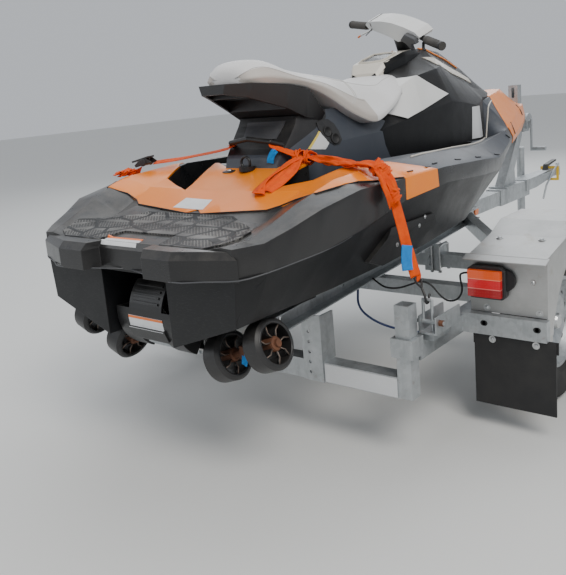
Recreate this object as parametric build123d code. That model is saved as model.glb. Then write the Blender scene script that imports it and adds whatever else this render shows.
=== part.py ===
"""Personal watercraft, three seats, strapped down on its single-axle boat trailer.

Millimetres. +X is starboard, +Y runs to the bow and the coupling, +Z is up.
The model is drawn with y = 0 at the stern's bumper and z = 0 on the ground, and each
piece is then moved so that the origin is the middle of the length, on the ground.
"""

import os
from math import atan2, cos, radians, sin, tan

from build123d import *

# Places a solid with its base on the plane that it is drawn on
ON_START = (Align.CENTER, Align.CENTER, Align.MIN)

# Hull and deck, read at stations from stern to bow
KEEL_Z = 425
DECK_SKIN = 5
PANEL_PROUD = 3
FLOOR_Z = 720
STERN_Y = -12
WELL_REACH = 700
MAT_THICK = 6
MAT_FRONT_ROW = 470
HOOD_WALL = 8
CRAFT_REACH = 300

# Jet pump under the stern
PUMP_Z = 545
PUMP_BORE = 78
PUMP_WALL = 10
PUMP_FRONT_Y = 415
TUNNEL_HALF = 150
TUNNEL_TOP_Z = 698
RIDE_REAR_Y = 190
RIDE_WALL = 6
THROAT_HALF = 60
INTAKE_REAR_Y = 640
INTAKE_FRONT_Y = 960
OUTLET_Y = 218
OUTLET_BORE = 50
NOZZLE_PIVOT_Y = 228
NOZZLE_END_Y = 124
NOZZLE_BORE = 46
NOZZLE_WALL = 6
NOZZLE_GAP = 12
NOZZLE_REST_TURN = 17
NOZZLE_BOLT = 7
IMPELLER_Y = 350
IMPELLER_LENGTH = 56
BLADES = 3
RUNNING_GAP = 6

# Reverse gate, in degrees round its pins from straight aft
GATE_RADIUS = 132
GATE_WALL = 7
GATE_HALF = 138
GATE_PIN = 10
GATE_NECK_HALF = 76
GATE_LOBE_HALF = 38
GATE_TOP_DEG = 52
GATE_NECK_DEG = 10
GATE_LABEL_DEG = -22
GATE_LOW_DEG = -38
GATE_LOBE_DEG = -62

# Steering
COLUMN_FOOT = (0, 1780, 1318)
COLUMN_RAKE = 29
COLUMN_LENGTH = 136
COLUMN_RADIUS = 34
COLUMN_START = 17
COLUMN_GAP = 8
BAR_HALF = 360
BAR_REST_TURN = 28
BAR_RADIUS = 12
GRIP_RADIUS = 17
GRIP_LENGTH = 128

# Hand hold and tow eye behind the pedestal
HOLD_RADIUS = 9
TOW_EYE_Y = 618
TOW_EYE_Z = 962

# Road wheels and axle
TYRE_RADIUS = 289
TYRE_WIDTH = 156
RIM_RADIUS = 168
WHEEL_X = 815
WHEEL_Y = 1290
ARM_TRAIL = 150
AXLE_TUBE = 62
STUB_RADIUS = 17.5
SHAFT_FIT = 0.4

# Trailer frame
DRAWBAR = 80
DRAWBAR_TOP_Z = 527
DRAWBAR_REAR_Y = 2180
COUPLING_NOSE_Y = 3738
COUPLING_LONG = 608
SLEEVE_LONG = 430
SLEEVE_WALL = 6
SLEEVE_FRONT_Y = COUPLING_NOSE_Y - COUPLING_LONG
SLEEVE_REAR_Y = SLEEVE_FRONT_Y - SLEEVE_LONG
BALL_Y = COUPLING_NOSE_Y - 70
BALL_RADIUS = 25
LEVER_RADIUS = 6
LOCK_HALF = 60
LOCK_SIZE = 14
LOCK_DROP = 74
RAIL_X = 645
RAIL_WIDE = 50
RAIL_TALL = 60
RAIL_TOP_Z = 402
RAIL_REAR_Y = 605
RAIL_FRONT_Y = 1560
CROSS_Y = 1705
TUBE_WALL = 4
POST_Y = 570
POST_SIZE = 50
POST_TOP_Z = 533
LOW_BAR_Z = 264
LOW_BAR_TALL = 70
PLATE_Y = 332
PLATE_TOP_Z = 464
PLATE_LONG = 520
PLATE_TALL = 112

# Bunk beams that carry the hull, their brackets, and the rollers at their rear ends
BEAM_REAR = (335, 262, 529)
BEAM_FRONT = (61, 2335, 505)
BEAM_TALL = 62
BEAM_WIDE = 40
BEAM_WALL = 5
BRACKET_HALF = 40
HOLE_PITCH = 36
ROLLER_RADIUS = 78
ROLLER_WIDE = 68
ROLLER_RIM = 18
ROLLER_HUB = 22
ROLLER_SPOKES = 7
ROLLER_Y = 200
ROLLER_X = 320
ROLLER_OFFSET = 90
ROLLER_GAP = 5
ROLLER_SHAFT = 11

# Mudguards, lamps, reflectors and flaps
GUARD_IN_X = 690
GUARD_OUT_X = 952
GUARD_HALF = 360
GUARD_TOP_Z = 684
GUARD_LIP_Z = 614
GUARD_REAR_Z = 416
GUARD_LIP = 34
ARCH_RADIUS = 318
SHEET = 3
LAMP = (114, 42, 90)
LAMP_X = 699
LAMP_Z = 478
REFLECTOR_Y = 2375
REFLECTOR_Z = 472
FLAP = (277, 6, 252)
FLAP_X = 706
FLAP_Z = 92

# Jockey wheel
JOCKEY_X = -88
JOCKEY_Y = SLEEVE_FRONT_Y + 200
JOCKEY_RADIUS = 100
JOCKEY_WIDE = 50
JOCKEY_TRAIL = 40
JOCKEY_AXLE = 8
JOCKEY_TUBE = 24
JOCKEY_TOP_Z = 700
JOCKEY_CLAMP_Z = 470

# Winch post and winch
POST_FOOT_Y = 2850
POST_HEAD_Y = 3040
POST_HEAD_Z = 1112
POST_KNEE_Z = 830
POST_DEEP = 56
POST_WIDE = 56
POST_WALL = 5
WINCH_DRUM = 34
WINCH_DROP = 230

# Tie-down straps and their shackles
STRAP_WIDE = 35
STRAP_THICK = 3
SHACKLE_BAR = 5
SHACKLE_Y = 632
SHACKLE_Z = 534


def span(x, y, z):
    """Block between a low and a high bound on each axis."""
    size = [high - low for low, high in (x, y, z)]
    middle = [(low + high) / 2 for low, high in (x, y, z)]
    return Pos(*middle) * Box(*size)


def prism(points, axis, start, stop):
    """Outline in (y, z), (x, z) or (x, y), carried along X, Y or Z."""
    planes = {
        "X": Plane((start, 0, 0), x_dir=(0, 1, 0), z_dir=(1, 0, 0)),
        "Y": Plane((0, start, 0), x_dir=(1, 0, 0), z_dir=(0, -1, 0)),
        "Z": Plane((0, 0, start)),
    }
    outline = planes[axis] * make_face(Polyline(*points, close=True))
    length = stop - start
    return extrude(outline, amount=-length if axis == "Y" else length)


def section(y, half):
    """Closed face across the hull from the points of its starboard half."""
    other = [(-x, z) for x, z in reversed(half) if x > 0]
    plane = Plane((0, y, 0), x_dir=(1, 0, 0), z_dir=(0, -1, 0))
    return plane * make_face(Polyline(*half, *other, close=True))


def along(start, stop):
    """Plane at start whose normal points at stop and whose X is level."""
    way = Vector(*stop) - Vector(*start)
    level = Vector(0, 0, 1).cross(way)
    if level.length < 1e-6:
        level = Vector(1, 0, 0)
    return Plane(start, x_dir=level, z_dir=way), way.length


def round_bar(start, stop, radius):
    plane, length = along(start, stop)
    return plane * Cylinder(radius, length, align=ON_START)


def square_bar(start, stop, wide, tall):
    plane, length = along(start, stop)
    return plane * Box(wide, tall, length, align=ON_START)


def square_tube(start, stop, wide, tall, wall=TUBE_WALL):
    inner = square_bar(start, stop, wide - 2 * wall, tall - 2 * wall)
    return square_bar(start, stop, wide, tall) - inner


def pipe(start, stop, outer, inner):
    return round_bar(start, stop, outer) - round_bar(start, stop, inner)


def pair(shape):
    """The piece and its mirror image on the port side."""
    return Compound([shape, mirror(shape, about=Plane.YZ)])


def mix(low, high, share):
    return low + (high - low) * share


# Half sections: joint line, rail's outer edge, rail's inner edge, inner deck, middle
STATION_COLUMNS = (
    "y", "keel", "chine_x", "chine_z", "joint_x", "joint_z",
    "rail_x", "rail_z", "inner_x", "inner_z", "deck_x", "deck_z", "middle_z",
)
STATION_ROWS = (
    (60, 425, 418, 576, 432, 722, 430, 800, 392, 803, 320, 790, 790),
    (125, 425, 424, 578, 496, 728, 492, 808, 432, 812, 325, 797, 796),
    (210, 425, 432, 581, 522, 737, 524, 836, 448, 842, 333, 806, 802),
    (300, 425, 440, 584, 542, 746, 560, 872, 466, 882, 345, 822, 812),
    (470, 425, 455, 590, 572, 779, 578, 900, 484, 926, 352, 890, 880),
    (720, 440, 470, 602, 583, 828, 583, 897, 490, 941, 345, 955, 962),
    (1000, 446, 480, 612, 585, 842, 580, 897, 478, 940, 350, 945, 950),
    (1400, 452, 450, 630, 540, 812, 540, 872, 444, 916, 330, 925, 930),
    (1740, 470, 362, 662, 455, 784, 456, 838, 366, 892, 280, 905, 915),
    (2150, 531, 257, 726, 324, 826, 332, 865, 304, 917, 210, 880, 940),
    (2260, 548, 230, 744, 290, 837, 300, 873, 286, 925, 150, 1060, 1070),
    (2700, 640, 118, 806, 170, 872, 180, 916, 150, 972, 52, 1100, 1103),
    (2960, 795, 42, 868, 86, 906, 88, 938, 76, 1000, 30, 1006, 1007),
)
STATIONS = [dict(zip(STATION_COLUMNS, row)) for row in STATION_ROWS]
TIP_Y = 2996


def deck_half(row, grow=0.0):
    """Deck's half outline at one station, grown outward by a skin's thickness."""
    return [
        (row["joint_x"] + grow, row["joint_z"]),
        (row["rail_x"] + grow, row["rail_z"] + grow * 0.4),
        (row["inner_x"] + grow * 0.4, row["inner_z"] + grow),
        (row["deck_x"], row["deck_z"] + grow),
        (0, row["middle_z"] + grow),
    ]


def hull_half(row):
    return [
        (0, row["keel"]),
        (row["chine_x"], row["chine_z"]),
        (row["joint_x"], row["joint_z"]),
        (0, row["joint_z"]),
    ]


def tip(row, points):
    """Last section at the bow, drawn in towards the stem."""
    return [(x * 0.55, mix(z, row["rail_z"] + 5, 0.35)) for x, z in points]


def lofted(half, rows=None):
    """Body through the hull's stations, closed by a drawn-in last section at the bow."""
    rows = rows or STATIONS
    faces = [section(row["y"], half(row)) for row in rows]
    if rows[-1] is STATIONS[-1]:
        faces.append(section(TIP_Y, tip(rows[-1], half(rows[-1]))))
    return loft(faces, ruled=True)


def region(points, low=600, high=1200):
    """Plan outline of a panel, as tall as the deck."""
    return prism(points, "Z", low, high)

# Plan outlines of the starboard half, as (x, y)
REAR_PANEL = (
    (0, 364), (40, 338), (120, 346), (300, 362), (337, 386), (394, 395), (485, 376), (517, 442),
    (535, 520), (560, 585), (487, 597), (407, 668), (366, 706), (250, 715), (135, 655), (0, 655),
)
SIDE_PANEL = (
    (560, 585), (567, 652), (580, 714), (620, 776), (620, 934), (579, 931),
    (542, 874), (502, 801), (479, 752), (407, 668), (487, 597),
)
WELL = (
    (0, 690), (223, 690), (206, 623), (168, 508), (160, 464), (238, 495), (345, 549), (400, 668),
    (422, 800), (438, 1000), (392, 1400), (318, 1740), (285, 1840), (0, 1840),
)
MAT = (
    (0, 150), (120, 150), (150, 20), (248, 20), (378, 92),
    (400, 175), (330, 250), (200, 322), (60, 330), (0, 330),
)

# Side outline of the bow panel, as (y, z)
BOW_PANEL = ((2255, 780), (2320, 830), (2235, 925), (2500, 1130), (3100, 1130), (3100, 780))


def both_sides(half):
    return list(half) + [(-x, y) for x, y in reversed(half) if x > 0]


def make_well():
    """Room for the feet on both sides of the seat, with a ramp up to the deck at its rear."""
    ramp = ((430, 900), (820, FLOOR_Z), (1840, FLOOR_Z), (1840, 1200), (430, 1200))
    return region(both_sides(WELL), low=FLOOR_Z) & prism(ramp, "X", -WELL_REACH, WELL_REACH)


def make_deck():
    outer = lofted(deck_half)
    proud = lofted(lambda row: deck_half(row, PANEL_PROUD))
    inner = lofted(lambda row: deck_half(row, -DECK_SKIN))
    well = make_well()
    rear = (proud & region(both_sides(REAR_PANEL))) - inner - well
    side = region(SIDE_PANEL)
    sides = (proud & (side + mirror(side, about=Plane.YZ))) - inner - well
    bow_cut = prism(BOW_PANEL, "X", -WELL_REACH, WELL_REACH)
    bow = (proud & bow_cut) - inner
    return outer - well - rear - sides - bow, rear, sides, bow


def make_hull():
    hull = lofted(hull_half)
    tunnel = span((-TUNNEL_HALF, TUNNEL_HALF), (0, PUMP_FRONT_Y), (KEEL_Z - 40, TUNNEL_TOP_Z))
    low, high = PUMP_Z - THROAT_HALF, PUMP_Z + THROAT_HALF
    wall, below = PUMP_FRONT_Y - 1, KEEL_Z - 5
    throat = ((wall, low), (wall, high), (560, high), (INTAKE_FRONT_Y, below), (INTAKE_REAR_Y, below))
    intake = prism(throat, "X", -THROAT_HALF, THROAT_HALF)
    return hull - tunnel - intake - make_well()


def make_grate(hull):
    """Bars across the water intake in the keel."""
    lift = 8
    low = max(row["keel"] for row in STATIONS if row["y"] < INTAKE_FRONT_Y) + lift
    bars = span((-THROAT_HALF - 1, THROAT_HALF + 1), (800, 808), (low - 3, low + 3))
    for x in (-36, -12, 12, 36):
        bars = bars + round_bar((x, INTAKE_REAR_Y - 110, low), (x, INTAKE_FRONT_Y - 10, low), 4)
    return bars - hull


def make_ride_plate():
    """Flat plate that closes the tunnel under the pump."""
    half = TUNNEL_HALF
    floor = span((-half, half), (RIDE_REAR_Y, PUMP_FRONT_Y), (KEEL_Z, KEEL_Z + RIDE_WALL))
    side = span((half - RIDE_WALL, half), (RIDE_REAR_Y, PUMP_FRONT_Y), (KEEL_Z + RIDE_WALL, KEEL_Z + 75))
    return floor + side + mirror(side, about=Plane.YZ)


def make_stern():
    """Rear platform's lip with the step notched in its middle, its top edge bevelled."""
    base_z = STATIONS[0]["joint_z"] - 12
    bevel = 18
    outline = ((0, 45), (125, 45), (140, STERN_Y), (258, STERN_Y), (446, 62))
    drawn_in = ((0, 57), (117, 57), (132, STERN_Y + bevel), (252, STERN_Y + bevel), (418, 62))
    lower = prism(both_sides(outline), "Z", base_z, base_z + 62)
    faces = [
        Pos(0, 0, z) * make_face(Polyline(*both_sides(points), close=True))
        for z, points in ((base_z + 62, outline), (base_z + 84, drawn_in))
    ]
    return lower + loft(faces, ruled=True)


def make_mats():
    """Tread mats on the rear platform, with the step's bare middle between them."""
    aft = [row for row in STATIONS if row["y"] <= MAT_FRONT_ROW]
    raised = lofted(lambda row: deck_half(row, MAT_THICK), aft)
    return (region(both_sides(MAT), low=780, high=860) & raised) - lofted(deck_half, aft)


def make_pedestal():
    """Pedestal's whole body, then the black wedge at its rear and the slate rest."""
    rows = (
        # y, foot half, waist half, waist z, top half, top z
        (600, 112, 108, 960, 95, 1100),
        (680, 142, 132, 990, 112, 1100),
        (820, 202, 186, 985, 150, 1114),
        (900, 214, 194, 1000, 158, 1120),
        (1120, 222, 216, 1010, 170, 1120),
        (1500, 232, 226, 1010, 160, 1120),
    )
    faces = [
        section(y, [(0, FLOOR_Z), (foot, FLOOR_Z), (waist, waist_z), (top, top_z), (0, top_z)])
        for y, foot, waist, waist_z, top, top_z in rows
    ]
    whole = loft(faces, ruled=True)
    behind = ((560, 700), (625, 900), (655, 972), (745, 1080), (770, 1130), (560, 1130))
    ahead = (
        (1135, 1130), (1145, 1064), (1209, 1060), (1416, 964), (1486, 894),
        (1492, 700), (1520, 700), (1520, 1130),
    )
    for outline in (behind, ahead):
        whole = whole - prism(outline, "X", -CRAFT_REACH, CRAFT_REACH)
    diagonal = ((600, 955), (690, 994), (890, 1090), (900, 1125), (600, 1125))
    wedge = prism(diagonal, "X", -CRAFT_REACH, CRAFT_REACH)
    return whole - wedge, whole & wedge


def make_carrier(black):
    """Hood under the seat's rear end: an open shell with ribs, on the pedestal's black wedge."""
    rows = (
        # y, low half, low z, top half, top z
        (485, 50, 1204, 60, 1236),
        (565, 92, 1186, 106, 1234),
        (700, 142, 1140, 164, 1216),
        (785, 158, 1100, 180, 1196),
        (862, 166, 1084, 184, 1108),
    )
    outer = loft([section(y, tapered(*sizes)) for y, *sizes in rows], ruled=True)
    wall = HOOD_WALL
    faces = []
    for y, low, low_z, top, top_z in rows[:3]:
        faces.append(section(y + wall, tapered(low - wall, low_z - 4, top - wall, top_z - wall)))
    hood = outer - loft(faces, ruled=True)
    for y in (560, 630):
        hood = hood + (outer & span((-CRAFT_REACH, CRAFT_REACH), (y, y + 5), (1180, 1230)))
    return hood + black


def tapered(low, low_z, top, top_z):
    """Half outline of a body with a flat floor, one sloping side and a flat top."""
    return [(0, low_z), (low, low_z), (top, top_z), (0, top_z)]


def make_seat():
    rows = (
        # y, bottom half, bottom z, side half, side z, top half, top z
        (556, 60, 1232, 78, 1246, 46, 1276),
        (620, 130, 1226, 142, 1252, 80, 1315),
        (760, 160, 1212, 169, 1230, 92, 1277),
        (900, 180, 1162, 188, 1192, 104, 1253),
        (980, 206, 1100, 208, 1136, 109, 1243),
        (1100, 256, 1038, 256, 1062, 113, 1222),
        (1290, 234, 1110, 231, 1131, 114, 1194),
        (1367, 206, 1136, 206, 1157, 112, 1220),
        (1445, 172, 1166, 174, 1184, 106, 1236),
        (1520, 124, 1196, 126, 1212, 90, 1234),
    )
    faces = [
        section(y, [(0, low_z), (low, low_z), (side, side_z), (top, top_z), (0, top_z)])
        for y, low, low_z, side, side_z, top, top_z in rows
    ]
    return loft(faces, ruled=True)


def make_fairing():
    rows = (
        # y, foot half, foot z, waist half, waist z, shoulder half, shoulder z, ridge half, ridge z
        (1130, 206, FLOOR_Z, 208, 1010, 120, 1060, 60, 1070),
        (1200, 216, FLOOR_Z, 220, 1020, 130, 1092, 60, 1102),
        (1460, 230, FLOOR_Z, 248, 1060, 200, 1205, 84, 1232),
        (1700, 250, FLOOR_Z, 262, 1090, 190, 1236, 88, 1300),
        (1800, 255, FLOOR_Z, 258, 1080, 160, 1246, 78, 1332),
        (1990, 262, 830, 240, 1055, 130, 1190, 52, 1314),
        (2150, 206, 850, 196, 1070, 108, 1160, 42, 1262),
        (2270, 150, 990, 142, 1080, 92, 1130, 34, 1222),
        (2430, 110, 1040, 104, 1074, 66, 1112, 22, 1160),
        (2600, 60, 1060, 50, 1080, 30, 1090, 10, 1100),
    )
    faces = []
    for y, foot, foot_z, waist, waist_z, side, side_z, ridge, ridge_z in rows:
        half = [(0, foot_z), (foot, foot_z), (waist, waist_z), (side, side_z), (ridge, ridge_z), (0, ridge_z)]
        faces.append(section(y, half))
    return loft(faces, ruled=True)


def make_dash():
    """Instrument pod ahead of the seat, with the gauge's raised rim on its sloping top."""
    rows = (
        # y, side half, top half, top z
        (1412, 66, 58, 1238),
        (1450, 86, 76, 1279),
        (1600, 98, 86, 1319),
        (1713, 94, 80, 1330),
        (1790, 84, 68, 1331),
    )
    faces = [
        section(y, [(0, 1190), (side, 1190), (side, top_z - 20), (top, top_z), (0, top_z)])
        for y, side, top, top_z in rows
    ]
    pod = loft(faces, ruled=True)
    outer = region(both_sides(((0, 1452), (56, 1462), (68, 1500), (58, 1590), (0, 1602))), 1240, 1340)
    inner = region(both_sides(((0, 1460), (50, 1469), (60, 1502), (51, 1583), (0, 1594))), 1200, 1400)
    rim = (outer & Pos(0, 0, 5) * pod) - inner
    return pod + rim


def steering_room():
    """Space round the steering column's foot that the fairing and the pod leave free."""
    start = COLUMN_START - COLUMN_GAP
    room = Cylinder(COLUMN_RADIUS + COLUMN_GAP, COLUMN_LENGTH, align=ON_START)
    return steering_frame() * Pos(0, 0, start) * room


def make_knee_panels(fairing):
    outline = ((1181, 1103), (1347, 1046), (1690, 1124), (1505, 1213), (1367, 1203))
    block = prism(outline, "X", 120, 320)
    grown = Pos(7, 0, 2) * fairing
    return pair((block & grown) - fairing)


def pump_profile(points):
    """Ring about the pump's axis from its (y, radius) outline."""
    plane = Plane((0, 0, PUMP_Z), x_dir=(0, 1, 0), z_dir=(1, 0, 0))
    face = plane * make_face(Polyline(*points, close=True))
    return revolve(face, Axis((0, 0, PUMP_Z), (0, 1, 0)))


def make_pump():
    outer = PUMP_BORE + PUMP_WALL
    front = PUMP_FRONT_Y
    shell = pump_profile((
        (front, PUMP_BORE), (front, outer + 4), (front - 10, outer + 4), (front - 10, outer),
        (312, outer), (264, OUTLET_BORE + 8), (OUTLET_Y, OUTLET_BORE + 8),
        (OUTLET_Y, OUTLET_BORE), (264, OUTLET_BORE), (302, PUMP_BORE),
    ))
    return shell + nozzle_bolts(NOZZLE_BOLT, OUTLET_BORE + 4, OUTLET_BORE + 32)


def nozzle_bolts(radius, inner, outer):
    """Upright pieces above and below the pump's axis, on the line that the nozzle turns on."""
    upper = round_bar((0, NOZZLE_PIVOT_Y, PUMP_Z + inner), (0, NOZZLE_PIVOT_Y, PUMP_Z + outer), radius)
    lower = round_bar((0, NOZZLE_PIVOT_Y, PUMP_Z - outer), (0, NOZZLE_PIVOT_Y, PUMP_Z - inner), radius)
    return upper + lower


def make_impeller():
    tip_radius = PUMP_BORE - 5
    hub = round_bar((0, IMPELLER_Y - 30, PUMP_Z), (0, IMPELLER_Y + 30, PUMP_Z), 24)
    blade = None
    for index in range(BLADES):
        turn = 360 / BLADES * index
        sections = []
        for radius, pitch in ((20, 50), (tip_radius, 24)):
            plane = Plane((0, IMPELLER_Y, PUMP_Z), x_dir=(0, 1, 0), z_dir=(0, 0, 1)).offset(radius)
            sections.append(plane * Rot(0, 0, 90 - pitch) * Rectangle(IMPELLER_LENGTH, 5))
        one = loft(sections, ruled=True)
        one = one.rotate(Axis((0, 0, PUMP_Z), (0, 1, 0)), turn)
        hub = hub + one
    bore = round_bar((0, IMPELLER_Y - 40, PUMP_Z), (0, IMPELLER_Y + 40, PUMP_Z), PUMP_BORE - RUNNING_GAP)
    return hub & bore


def nozzle_profile():
    ring = OUTLET_BORE + 8 + NOZZLE_GAP
    front, back = NOZZLE_PIVOT_Y + 6, NOZZLE_PIVOT_Y - 24
    return pump_profile((
        (front, ring), (front, ring + NOZZLE_WALL), (back, ring + NOZZLE_WALL),
        (NOZZLE_END_Y, NOZZLE_BORE + NOZZLE_WALL), (NOZZLE_END_Y, NOZZLE_BORE), (back, ring - 2),
    ))


def make_nozzle():
    axis = Axis((0, NOZZLE_PIVOT_Y, PUMP_Z), (0, 0, 1))
    ring = OUTLET_BORE + 8 + NOZZLE_GAP
    bosses = nozzle_bolts(NOZZLE_BOLT + 7, ring + 1, ring + 10)
    holes = nozzle_bolts(NOZZLE_BOLT + SHAFT_FIT, ring - 10, ring + 20)
    return (nozzle_profile() + bosses - holes).rotate(axis, NOZZLE_REST_TURN)


def gate_point(radius, angle):
    """Point in (y, z) round the gate's pins."""
    return (NOZZLE_PIVOT_Y - radius * cos(radians(angle)), PUMP_Z + radius * sin(radians(angle)))


def arc_band(inner, outer, low, high, half, steps=6):
    """Curved plate behind the gate's pivot, between two angles from straight aft."""
    angles = [mix(low, high, i / steps) for i in range(steps + 1)]
    points = [gate_point(outer, a) for a in angles] + [gate_point(inner, a) for a in reversed(angles)]
    return prism(points, "X", -half, half)


def make_gate():
    """Reverse bucket: a wide lower band with a lobe at each end, a ribbed neck and a cheek on each pin."""
    outer = GATE_RADIUS + GATE_WALL
    bucket = arc_band(GATE_RADIUS, outer, GATE_LOW_DEG, GATE_NECK_DEG, GATE_HALF)
    bucket = bucket + arc_band(GATE_RADIUS, outer, GATE_NECK_DEG, GATE_TOP_DEG, GATE_NECK_HALF)
    lobe = arc_band(GATE_RADIUS, outer, GATE_LOBE_DEG, GATE_LOW_DEG, GATE_LOBE_HALF)
    lobe_shift = GATE_HALF - GATE_LOBE_HALF
    cheek_points = [(NOZZLE_PIVOT_Y + 16, PUMP_Z - 14), (NOZZLE_PIVOT_Y + 16, PUMP_Z + 14)]
    angles = (GATE_NECK_DEG, -8, GATE_LOW_DEG, GATE_LOBE_DEG)
    cheek_points += [gate_point(outer - 1, angle) for angle in angles]
    cheek = prism(cheek_points, "X", GATE_HALF - GATE_WALL, GATE_HALF)
    side = (cheek + Pos(lobe_shift, 0, 0) * lobe) - gate_pin(GATE_PIN + SHAFT_FIT, 0, GATE_HALF + 20)
    bucket = bucket + side + mirror(side, about=Plane.YZ)
    for angle in (18, 26, 34, 42):
        bucket = bucket + arc_band(outer - 1, outer + 4, angle, angle + 3, GATE_NECK_HALF - 16, 1)
    turn = radians(GATE_LABEL_DEG)
    middle = (0, *gate_point(outer + 2, GATE_LABEL_DEG))
    lip = Plane(middle, x_dir=(1, 0, 0), z_dir=(0, -cos(turn), sin(turn))) * Box(170, 42, 8)
    return bucket + lip


def gate_pin(radius, start, stop):
    return round_bar((start, NOZZLE_PIVOT_Y, PUMP_Z), (stop, NOZZLE_PIVOT_Y, PUMP_Z), radius)


def make_gate_pins():
    """Pivot pins that stand out from the pump's outlet on both sides, each on its lug."""
    inner = OUTLET_BORE + 36
    pin = gate_pin(GATE_PIN, inner, GATE_HALF + 6)
    rear, front = NOZZLE_PIVOT_Y - 14, 320
    outline = ((rear, PUMP_Z - 14), (rear, PUMP_Z + 14), (front, PUMP_Z + 20), (front, PUMP_Z - 20))
    lug = prism(outline, "X", inner, inner + 10)
    return pair((pin + lug) - make_pump())


def make_sponsons():
    outline = ((594, 645), (680, 742), (965, 739), (988, 697), (876, 623), (700, 608))
    block = prism(outline, "X", 440, 545)
    slope = lofted(hull_half)
    grown = Pos(16, 0, -4) * slope
    return pair((block & grown) - slope)


def steering_frame():
    """Plane on the steering column's axis, with its X along the bar."""
    rake, turn = radians(COLUMN_RAKE), radians(BAR_REST_TURN)
    bar_way = (cos(turn), -sin(turn) * cos(rake), -sin(turn) * sin(rake))
    return Plane(COLUMN_FOOT, x_dir=bar_way, z_dir=(0, -sin(rake), cos(rake)))


def make_steering():
    """Column, bar, grips and the faceted pad over the bar's middle, on the column's own plane."""
    frame = steering_frame()
    column = Pos(0, 0, COLUMN_START) * Cylinder(
        COLUMN_RADIUS, COLUMN_LENGTH - COLUMN_START, align=ON_START
    )
    rise = COLUMN_LENGTH - 16
    bend, sweep = 120, 34
    grip_start = (BAR_HALF - GRIP_LENGTH, -20, rise - 4)
    grip_end = (BAR_HALF, -sweep, rise - 6)
    middle = round_bar((-bend, 0, rise), (bend, 0, rise), BAR_RADIUS)
    arm = round_bar((bend, 0, rise), grip_start, BAR_RADIUS)
    grip = round_bar(grip_start, grip_end, GRIP_RADIUS)
    bar = middle + arm + mirror(arm, about=Plane.YZ)
    low, top = rise - 20, rise + 56
    outline = (
        (-198, rise - 2), (-216, rise + 14), (-188, rise + 34), (-70, top - 4), (20, top), (110, top - 8),
        (188, rise + 34), (216, rise + 14), (198, rise - 2), (90, low), (30, low - 16), (-40, low),
    )
    pad = prism(outline, "Y", -38, 38) - column - bar
    return {
        "steering_column": frame * (column - bar),
        "handlebar": frame * bar,
        "grips": frame * (pair(grip) - bar),
        "bar_pad": frame * pad,
    }


def make_tyre(side):
    half = TYRE_WIDTH / 2
    outline = (
        (-half + 22, RIM_RADIUS), (-half, RIM_RADIUS + 45), (-half + 3, TYRE_RADIUS - 32),
        (-half + 24, TYRE_RADIUS), (half - 24, TYRE_RADIUS), (half - 3, TYRE_RADIUS - 32),
        (half, RIM_RADIUS + 45), (half - 22, RIM_RADIUS),
    )
    return wheel_ring(outline, side)


def wheel_ring(outline, side, radius=TYRE_RADIUS):
    """Ring about a road wheel's axis from its (x, radius) outline."""
    plane = Plane((WHEEL_X, WHEEL_Y, radius), x_dir=(1, 0, 0), z_dir=(0, -1, 0))
    face = plane * make_face(Polyline(*outline, close=True))
    ring = revolve(face, Axis((WHEEL_X, WHEEL_Y, radius), (1, 0, 0)))
    return ring if side > 0 else mirror(ring, about=Plane.YZ)


def make_rim(side):
    half = TYRE_WIDTH / 2 - 22
    bore = STUB_RADIUS + SHAFT_FIT
    outline = (
        (-half, RIM_RADIUS), (-half, RIM_RADIUS - 12), (-10, RIM_RADIUS - 26), (6, RIM_RADIUS - 30),
        (20, 92), (-2, 60), (-2, 34), (-60, 34), (-60, bore), (24, bore), (24, 30), (14, 62),
        (34, 96), (20, RIM_RADIUS - 26), (half, RIM_RADIUS - 12), (half, RIM_RADIUS),
    )
    return wheel_ring(outline, side)


def make_axle():
    rail_bottom = RAIL_TOP_Z - RAIL_TALL
    tube_z = rail_bottom - AXLE_TUBE / 2
    tube_y = WHEEL_Y + ARM_TRAIL
    tube = square_bar((-690, tube_y, tube_z), (690, tube_y, tube_z), AXLE_TUBE, AXLE_TUBE)
    inner_x = WHEEL_X - 105
    arm_outline = (
        (tube_y + 30, tube_z - 28), (tube_y + 30, tube_z + 28), (tube_y - 20, tube_z + 30),
        (WHEEL_Y - 26, TYRE_RADIUS + 24), (WHEEL_Y - 26, TYRE_RADIUS - 26),
    )
    arm = prism(arm_outline, "X", 690, inner_x)
    stub = round_bar((inner_x, WHEEL_Y, TYRE_RADIUS), (WHEEL_X + 20, WHEEL_Y, TYRE_RADIUS), STUB_RADIUS)
    one = arm + stub
    return tube + one + mirror(one, about=Plane.YZ)


def make_drawbar():
    centre_z = DRAWBAR_TOP_Z - DRAWBAR / 2
    inside = SLEEVE_REAR_Y + 120
    rear = square_tube((0, DRAWBAR_REAR_Y, centre_z), (0, inside, centre_z), DRAWBAR, DRAWBAR)
    size = DRAWBAR + 2 * SLEEVE_WALL
    front = square_tube((0, SLEEVE_REAR_Y, centre_z), (0, SLEEVE_FRONT_Y, centre_z), size, size, SLEEVE_WALL)
    return rear + front


def make_arms():
    """Arms that spread from the drawbar back to the side rails, and the front cross tube."""
    centre_z = DRAWBAR_TOP_Z - DRAWBAR / 2
    rail_z = RAIL_TOP_Z - RAIL_TALL / 2
    arm = square_bar((0, DRAWBAR_REAR_Y + 100, centre_z - 8), (RAIL_X, RAIL_FRONT_Y, rail_z), 50, 60)
    arms = arm + mirror(arm, about=Plane.YZ)
    drawbar = square_bar(
        (0, DRAWBAR_REAR_Y - 90, centre_z), (0, SLEEVE_REAR_Y, centre_z), DRAWBAR, 2 * DRAWBAR,
    )
    beam = make_beams()
    rails = square_bar((RAIL_X, 0, rail_z), (RAIL_X, RAIL_FRONT_Y + 30, rail_z), RAIL_WIDE, RAIL_TALL)
    arms = arms - drawbar - rails - mirror(rails, about=Plane.YZ) - beam - mirror(beam, about=Plane.YZ)
    return arms


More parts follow.
